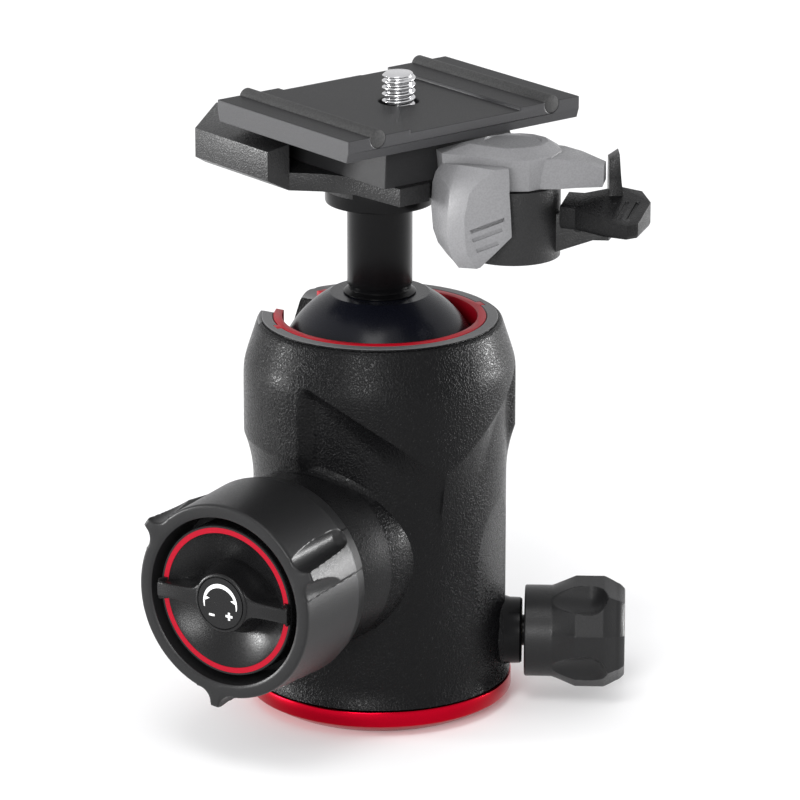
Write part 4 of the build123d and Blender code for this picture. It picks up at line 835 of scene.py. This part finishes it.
# %% [markdown]
# ## The stem
# A turned post is a lathe profile: a little ring at its foot, a long plain shaft and the
# flange under the clamp. The key's slot and the bolt's bore are cut afterwards.

# %% Turned post
stem_rows = [(0.02, 70.12), (4.9, 70.12), (5.0, 70.3), (5.0, 81.12), (6.75, 81.12), (6.9, 81.25),
             (6.9, 81.42), (6.5, 81.75), (5.95, 82.0), (5.95, 82.6), (6.1, 82.85), (6.2, 83.1),
             (6.2, 98.3), (6.3, 98.65), (6.6, 98.9), (7.0, 99.0), (10.0, 99.0), (10.28, 99.1),
             (10.4, 99.4), (10.4, 103.75), (10.3, 104.0), (0.02, 104.0)]
stem = placed(lathe("stem_body", stem_rows, 160), head_turn)
outward(stem)
key_slot = prism("key_slot", [(-4.05, -11.0), (4.05, -11.0), (4.05, 11.0), (-4.05, 11.0)], 101.55, 106.0)
cut(stem, outward(placed(key_slot, head_turn)))
bolt_bore = lathe("bolt_bore", [(3.05, 88.7), (3.05, 106.0)], 48)
cut(stem, outward(bolt_bore))
settle(stem, 40)
dressed(stem, "head", "black_anodised", stem_black, "stem")

# %% [markdown]
# ## The clamp lever
# A die-cast lever: a faceted hub with a bevelled crown, an arm that falls towards its tip,
# and a finger tab that hangs in front of the boss. Each is a short stack of outlines; they
# are joined and then all edges are broken at once.

# %% Stacks of outlines
def stack(name, levels):
    """A block through outlines of the same length: each level is a list of (x, y, z)."""
    n = len(levels[0])
    verts = [tuple(c * MM for c in p) for level in levels for p in level]
    faces = []
    for i in range(len(levels) - 1):
        for j in range(n):
            k = (j + 1) % n
            faces.append((i * n + j, i * n + k, (i + 1) * n + k, (i + 1) * n + j))
    faces += [tuple(reversed(range(n))), tuple(range((len(levels) - 1) * n, len(levels) * n))]
    return outward(new_piece(name, verts, faces))


def polar(r, degrees):
    return r * cos(radians(degrees)), r * sin(radians(degrees))


hub_outline = [(-8.4, -11.5), (-5.4, -12.6), polar(10.3, -98), polar(8.9, -76), polar(9.1, -50),
               polar(9.1, -20), polar(9.0, 12), polar(9.1, 45), polar(9.0, 72), polar(7.9, 100),
               polar(7.3, 126), polar(7.3, 152), (-7.3, 0.0)]
top_outline = [(-4.6, -7.6), (-3.0, -8.0), polar(7.2, -98), polar(6.5, -76), polar(6.6, -50),
               polar(6.6, -20), polar(6.6, 12), polar(6.6, 45), polar(6.5, 72), polar(5.9, 100),
               polar(5.4, 126), polar(5.4, 152), (-5.2, 0.0)]
LEVER_FOOT_Z, HUB_EDGE_Z, CROWN_Z = 106.9, 112.9, 114.5
HUB_FOOT_SHARE = 0.96       # the hub narrows a little towards its foot
lever = stack("clamp_lever_body", [
    [(x * HUB_FOOT_SHARE, y * HUB_FOOT_SHARE, LEVER_FOOT_Z) for x, y in hub_outline],
    [(x, y, HUB_EDGE_Z) for x, y in hub_outline],
    [(x, y, CROWN_Z) for x, y in top_outline]])
ARM_ANGLE = 42.6
arm_turn = Matrix.Rotation(radians(ARM_ANGLE), 4, "Z")
arm = stack("arm", [[(2.0, -6.6, 106.9), (2.0, 6.6, 106.9), (2.0, 6.6, 112.6), (2.0, -6.6, 112.6)],
                    [(9.0, -5.4, 106.9), (9.0, 5.4, 106.9), (9.0, 5.0, 112.5), (9.0, -5.0, 112.5)],
                    [(12.5, -4.1, 106.95), (12.5, 4.1, 106.95), (12.5, 3.7, 112.0), (12.5, -3.7, 112.0)],
                    [(17.1, -2.9, 107.0), (17.1, 2.9, 107.0), (17.1, 2.5, 110.5), (17.1, -2.5, 110.5)]])
placed(arm, arm_turn)


PAD_ANGLE, PAD_OUT = -33.0, 11.87


def on_pad(y, z, out=PAD_OUT):
    """A point of the tab's pad, which faces 33 degrees towards the front."""
    a = radians(PAD_ANGLE)
    return out * cos(a) - y * sin(a), out * sin(a) + y * cos(a), z


# the tab's levels run down: the pad's right edge and ridge first, then round behind
tab = stack("tab", [
    [on_pad(-2.1, 112.1, 11.3), on_pad(-4.6, 111.9, 11.5),
     (0.6, -12.5, 111.9), (-5.6, -12.5, 110.9), (-3.0, -6.0, 111.0)],
    [on_pad(-2.0, 110.0), on_pad(-7.6, 110.0),
     (0.2, -13.9, 109.8), (-6.5, -13.1, 109.4), (-3.3, -6.5, 110.0)],
    [on_pad(-2.0, 107.5), on_pad(-9.4, 107.5),
     (0.0, -15.0, 107.5), (-6.9, -13.6, 107.3), (-3.6, -7.0, 107.5)],
    [on_pad(-1.7, 103.0), on_pad(-10.3, 103.0),
     (0.6, -16.0, 103.0), (-7.0, -13.8, 103.0), (-5.4, -8.2, 103.0)],
    [on_pad(-1.5, 99.2), on_pad(-10.2, 99.0),
     (0.8, -16.2, 98.8), (-6.3, -13.9, 98.6), (-5.2, -8.4, 99.0)],
    [on_pad(-4.5, 96.2), on_pad(-9.8, 96.2),
     (1.0, -15.9, 96.0), (-4.8, -13.9, 96.2), (-3.2, -9.2, 96.4)],
    [on_pad(-6.3, 94.5), on_pad(-8.6, 94.4),
     (1.4, -15.2, 94.2), (-2.6, -13.7, 94.6), (-1.0, -10.0, 94.8)],
    [on_pad(-7.2, 93.4, 11.4), on_pad(-7.9, 93.2, 11.5),
     (2.2, -14.6, 93.0), (-0.6, -13.4, 93.3), (0.9, -11.0, 93.6)]])
clear_boss = lathe("clear_boss", [(9.6, 90.0), (9.6, LEVER_FOOT_Z)], 96)
cut(tab, outward(clear_boss))
cut(lever, arm, "UNION")
cut(lever, tab, "UNION")
disc_seat = lathe("disc_seat", [(5.3, 114.05), (5.5, 115.0)], 72)
cut(lever, outward(disc_seat))
bore = lathe("bore", [(3.05, 100.0), (3.05, 111.5)], 48)
cut(lever, outward(bore))
facing = Matrix.Rotation(radians(PAD_ANGLE), 4, "Z")
for middle_y, z, half in ((-6.0, 101.5, 3.4), (-6.0, 99.7, 2.9), (-6.0, 97.4, 2.1)):
    slot = prism("slot", [(-0.4, -half), (0.6, -half), (0.6, half), (-0.4, half)], -0.36, 0.36)
    lean = Matrix.Translation((11.9 * MM, middle_y * MM, z * MM)) @ Matrix.Rotation(radians(20.0), 4, "X")
    cut(lever, outward(placed(slot, facing @ lean)))
joined_faces(lever)
placed(lever, lever_place)
rounded(lever, 0.35, 22.0, 3)
dressed(lever, "lever", "grey_paint", grey_coat, "clamp_lever")

# %% [markdown]
# ## The safety catch
# A small flat lever with grip grooves on its top and a fin that guards the clamp lever's
# tip. It hinges on a web of the casting.

# %% Catch with grooves and fin
CATCH_ANGLE, FIN_ANGLE = 34.0, 53.4
catch_place = lever_place @ Matrix.Rotation(radians(CATCH_ANGLE), 4, "Z")
catch_outline = [(10.0, -3.2), (13.0, -3.4), (19.6, -6.6), (24.0, -7.3), (25.6, -5.4), (25.6, 3.6),
                 (23.0, 7.1), (18.6, 7.1), (13.0, 3.3), (10.0, 3.2)]


def at_height(outline, z, share=1.0):
    return [(x * share + (1 - share) * 18.0, y * share, z) for x, y in outline]


def catch_top(x, y):
    """The catch's top climbs towards the fin and falls towards the tip."""
    return 102.6 + 0.19 * (y + 7.3) - 0.14 * max(0.0, x - 19.0)


GROOVE_DEPTH, GROOVE_HALF = 0.45, 0.36
catch = stack("catch_body", [at_height(catch_outline, 99.3, 0.97), at_height(catch_outline, 99.9),
                             [(x, y, catch_top(x, y)) for x, y in catch_outline]])
web_room = prism("web_room", [(9.0, -1.8), (19.7, -1.8), (19.7, 1.8), (9.0, 1.8)], 96.0, 101.7)
cut(catch, outward(web_room))
fin_turn = Matrix.Rotation(radians(FIN_ANGLE - CATCH_ANGLE), 4, "Z")
fin = stack("fin", [[(17.8, -2.6, 102.5), (20.6, -2.6, 102.5), (20.6, 2.4, 102.5), (17.8, 2.4, 102.5)],
                    [(17.8, -2.5, 108.0), (20.0, -2.5, 108.0), (20.0, 2.4, 108.0), (17.8, 2.4, 108.0)],
                    [(17.8, -1.8, 111.0), (19.7, -2.2, 112.2), (19.7, 2.2, 112.2), (17.8, 2.0, 111.0)]])
cut(catch, placed(fin, fin_turn), "UNION")
for x, start, end in ((19.6, -4.4, 1.2), (21.5, -4.8, 2.4), (23.4, -4.4, 3.0)):
    low, high = x - GROOVE_HALF, x + GROOVE_HALF
    rows = [(low, start), (high, start), (high, end), (low, end)]
    slot = stack("slot", [[(a, b, catch_top(a, b) - GROOVE_DEPTH) for a, b in rows],
                          [(a, b, 107.0) for a, b in rows]])
    cut(catch, slot)
joined_faces(catch)
placed(catch, catch_place)
rounded(catch, 0.3, 22.0, 3)
dressed(catch, "catch", "black_paint", fine_coat, "catch_lever")

# %% [markdown]
# ## Studio
# A long lens from a little above, a white floor, and four soft lamps. The left and right
# ones stand low, because an upright wall mirrors only what is near its own height: there a
# dark cylinder shows them as bands near its sides. The one in front, a little higher, meets
# the tapered top, and the last one lights the plate from above. The world is one plain pale
# colour, so that the floor comes out white without more light.

# %% Camera
DISTANCE = 0.958
AZIMUTH, HEIGHT = radians(32.7), radians(18.0)
target = Vector((0, 0, 0.055))
back = Vector((sin(AZIMUTH) * cos(HEIGHT), -cos(AZIMUTH) * cos(HEIGHT), sin(HEIGHT)))
camera_data = bpy.data.cameras.new("camera")
camera_data.lens, camera_data.sensor_width = 225.0, 36.0
camera_data.shift_x, camera_data.shift_y = 0.02525, 0.02725
camera_data.clip_start, camera_data.clip_end = 0.05, 20.0
camera = bpy.data.objects.new("camera", camera_data)
camera.location = target + back * DISTANCE
camera.rotation_mode = "QUATERNION"
camera.rotation_quaternion = (-back).to_track_quat("-Z", "Y")
bpy.context.scene.collection.objects.link(camera)
bpy.context.scene.camera = camera
bpy.context.scene.view_settings.view_transform = "Standard"
print("camera at", [round(v, 3) for v in camera.location])

# %% Lamps
def softbox(name, azimuth, elevation, distance, width, height, watts, aim=(0, 0, 0.06)):
    """A rectangular lamp; azimuth and elevation are seen from the object, in degrees."""
    a, e = radians(azimuth), radians(elevation)
    way = Vector((sin(a) * cos(e), -cos(a) * cos(e), sin(e)))
    lamp = bpy.data.lights.new(name, "AREA")
    lamp.shape, lamp.size, lamp.size_y, lamp.energy = "RECTANGLE", width, height, watts
    obj = bpy.data.objects.new(name, lamp)
    obj.location = Vector(aim) + way * distance
    obj.rotation_mode = "QUATERNION"
    obj.rotation_quaternion = (-way).to_track_quat("-Z", "Y")
    bpy.context.scene.collection.objects.link(obj)
    return obj


softbox("left_box", -60, 3, 1.2, 0.30, 0.22, 13)
softbox("right_box", 142, 3, 1.2, 0.50, 0.22, 13)
softbox("front_box", 18, 16, 1.2, 0.45, 0.30, 8)
softbox("top_box", 20, 60, 1.2, 0.40, 0.40, 3)

# %% Floor and world
world = bpy.data.worlds.new("studio")
bpy.context.scene.world = world
world.use_nodes = True
sky = world.node_tree.nodes["Background"]
sky.inputs["Strength"].default_value = 1.0
sky.inputs["Color"].default_value = (0.90, 0.90, 0.91, 1)

floor = new_piece("floor", [(-4, -4, 0), (4, -4, 0), (4, 4, 0), (-4, 4, 0)], [(0, 1, 2, 3)])
paper = bpy.data.materials.new("white_paper")
paper.use_nodes = True
pn = paper.node_tree.nodes
pn["Principled BSDF"].inputs["Base Color"].default_value = (0.92, 0.92, 0.92, 1)
pn["Principled BSDF"].inputs["Roughness"].default_value = 0.9
pn["Principled BSDF"].inputs["Specular IOR Level"].default_value = 0.1
floor.data.materials.append(paper)
print("floor is", round(floor.dimensions.x, 2), "m wide")

# %% The last line
bpy.context.view_layer.update()
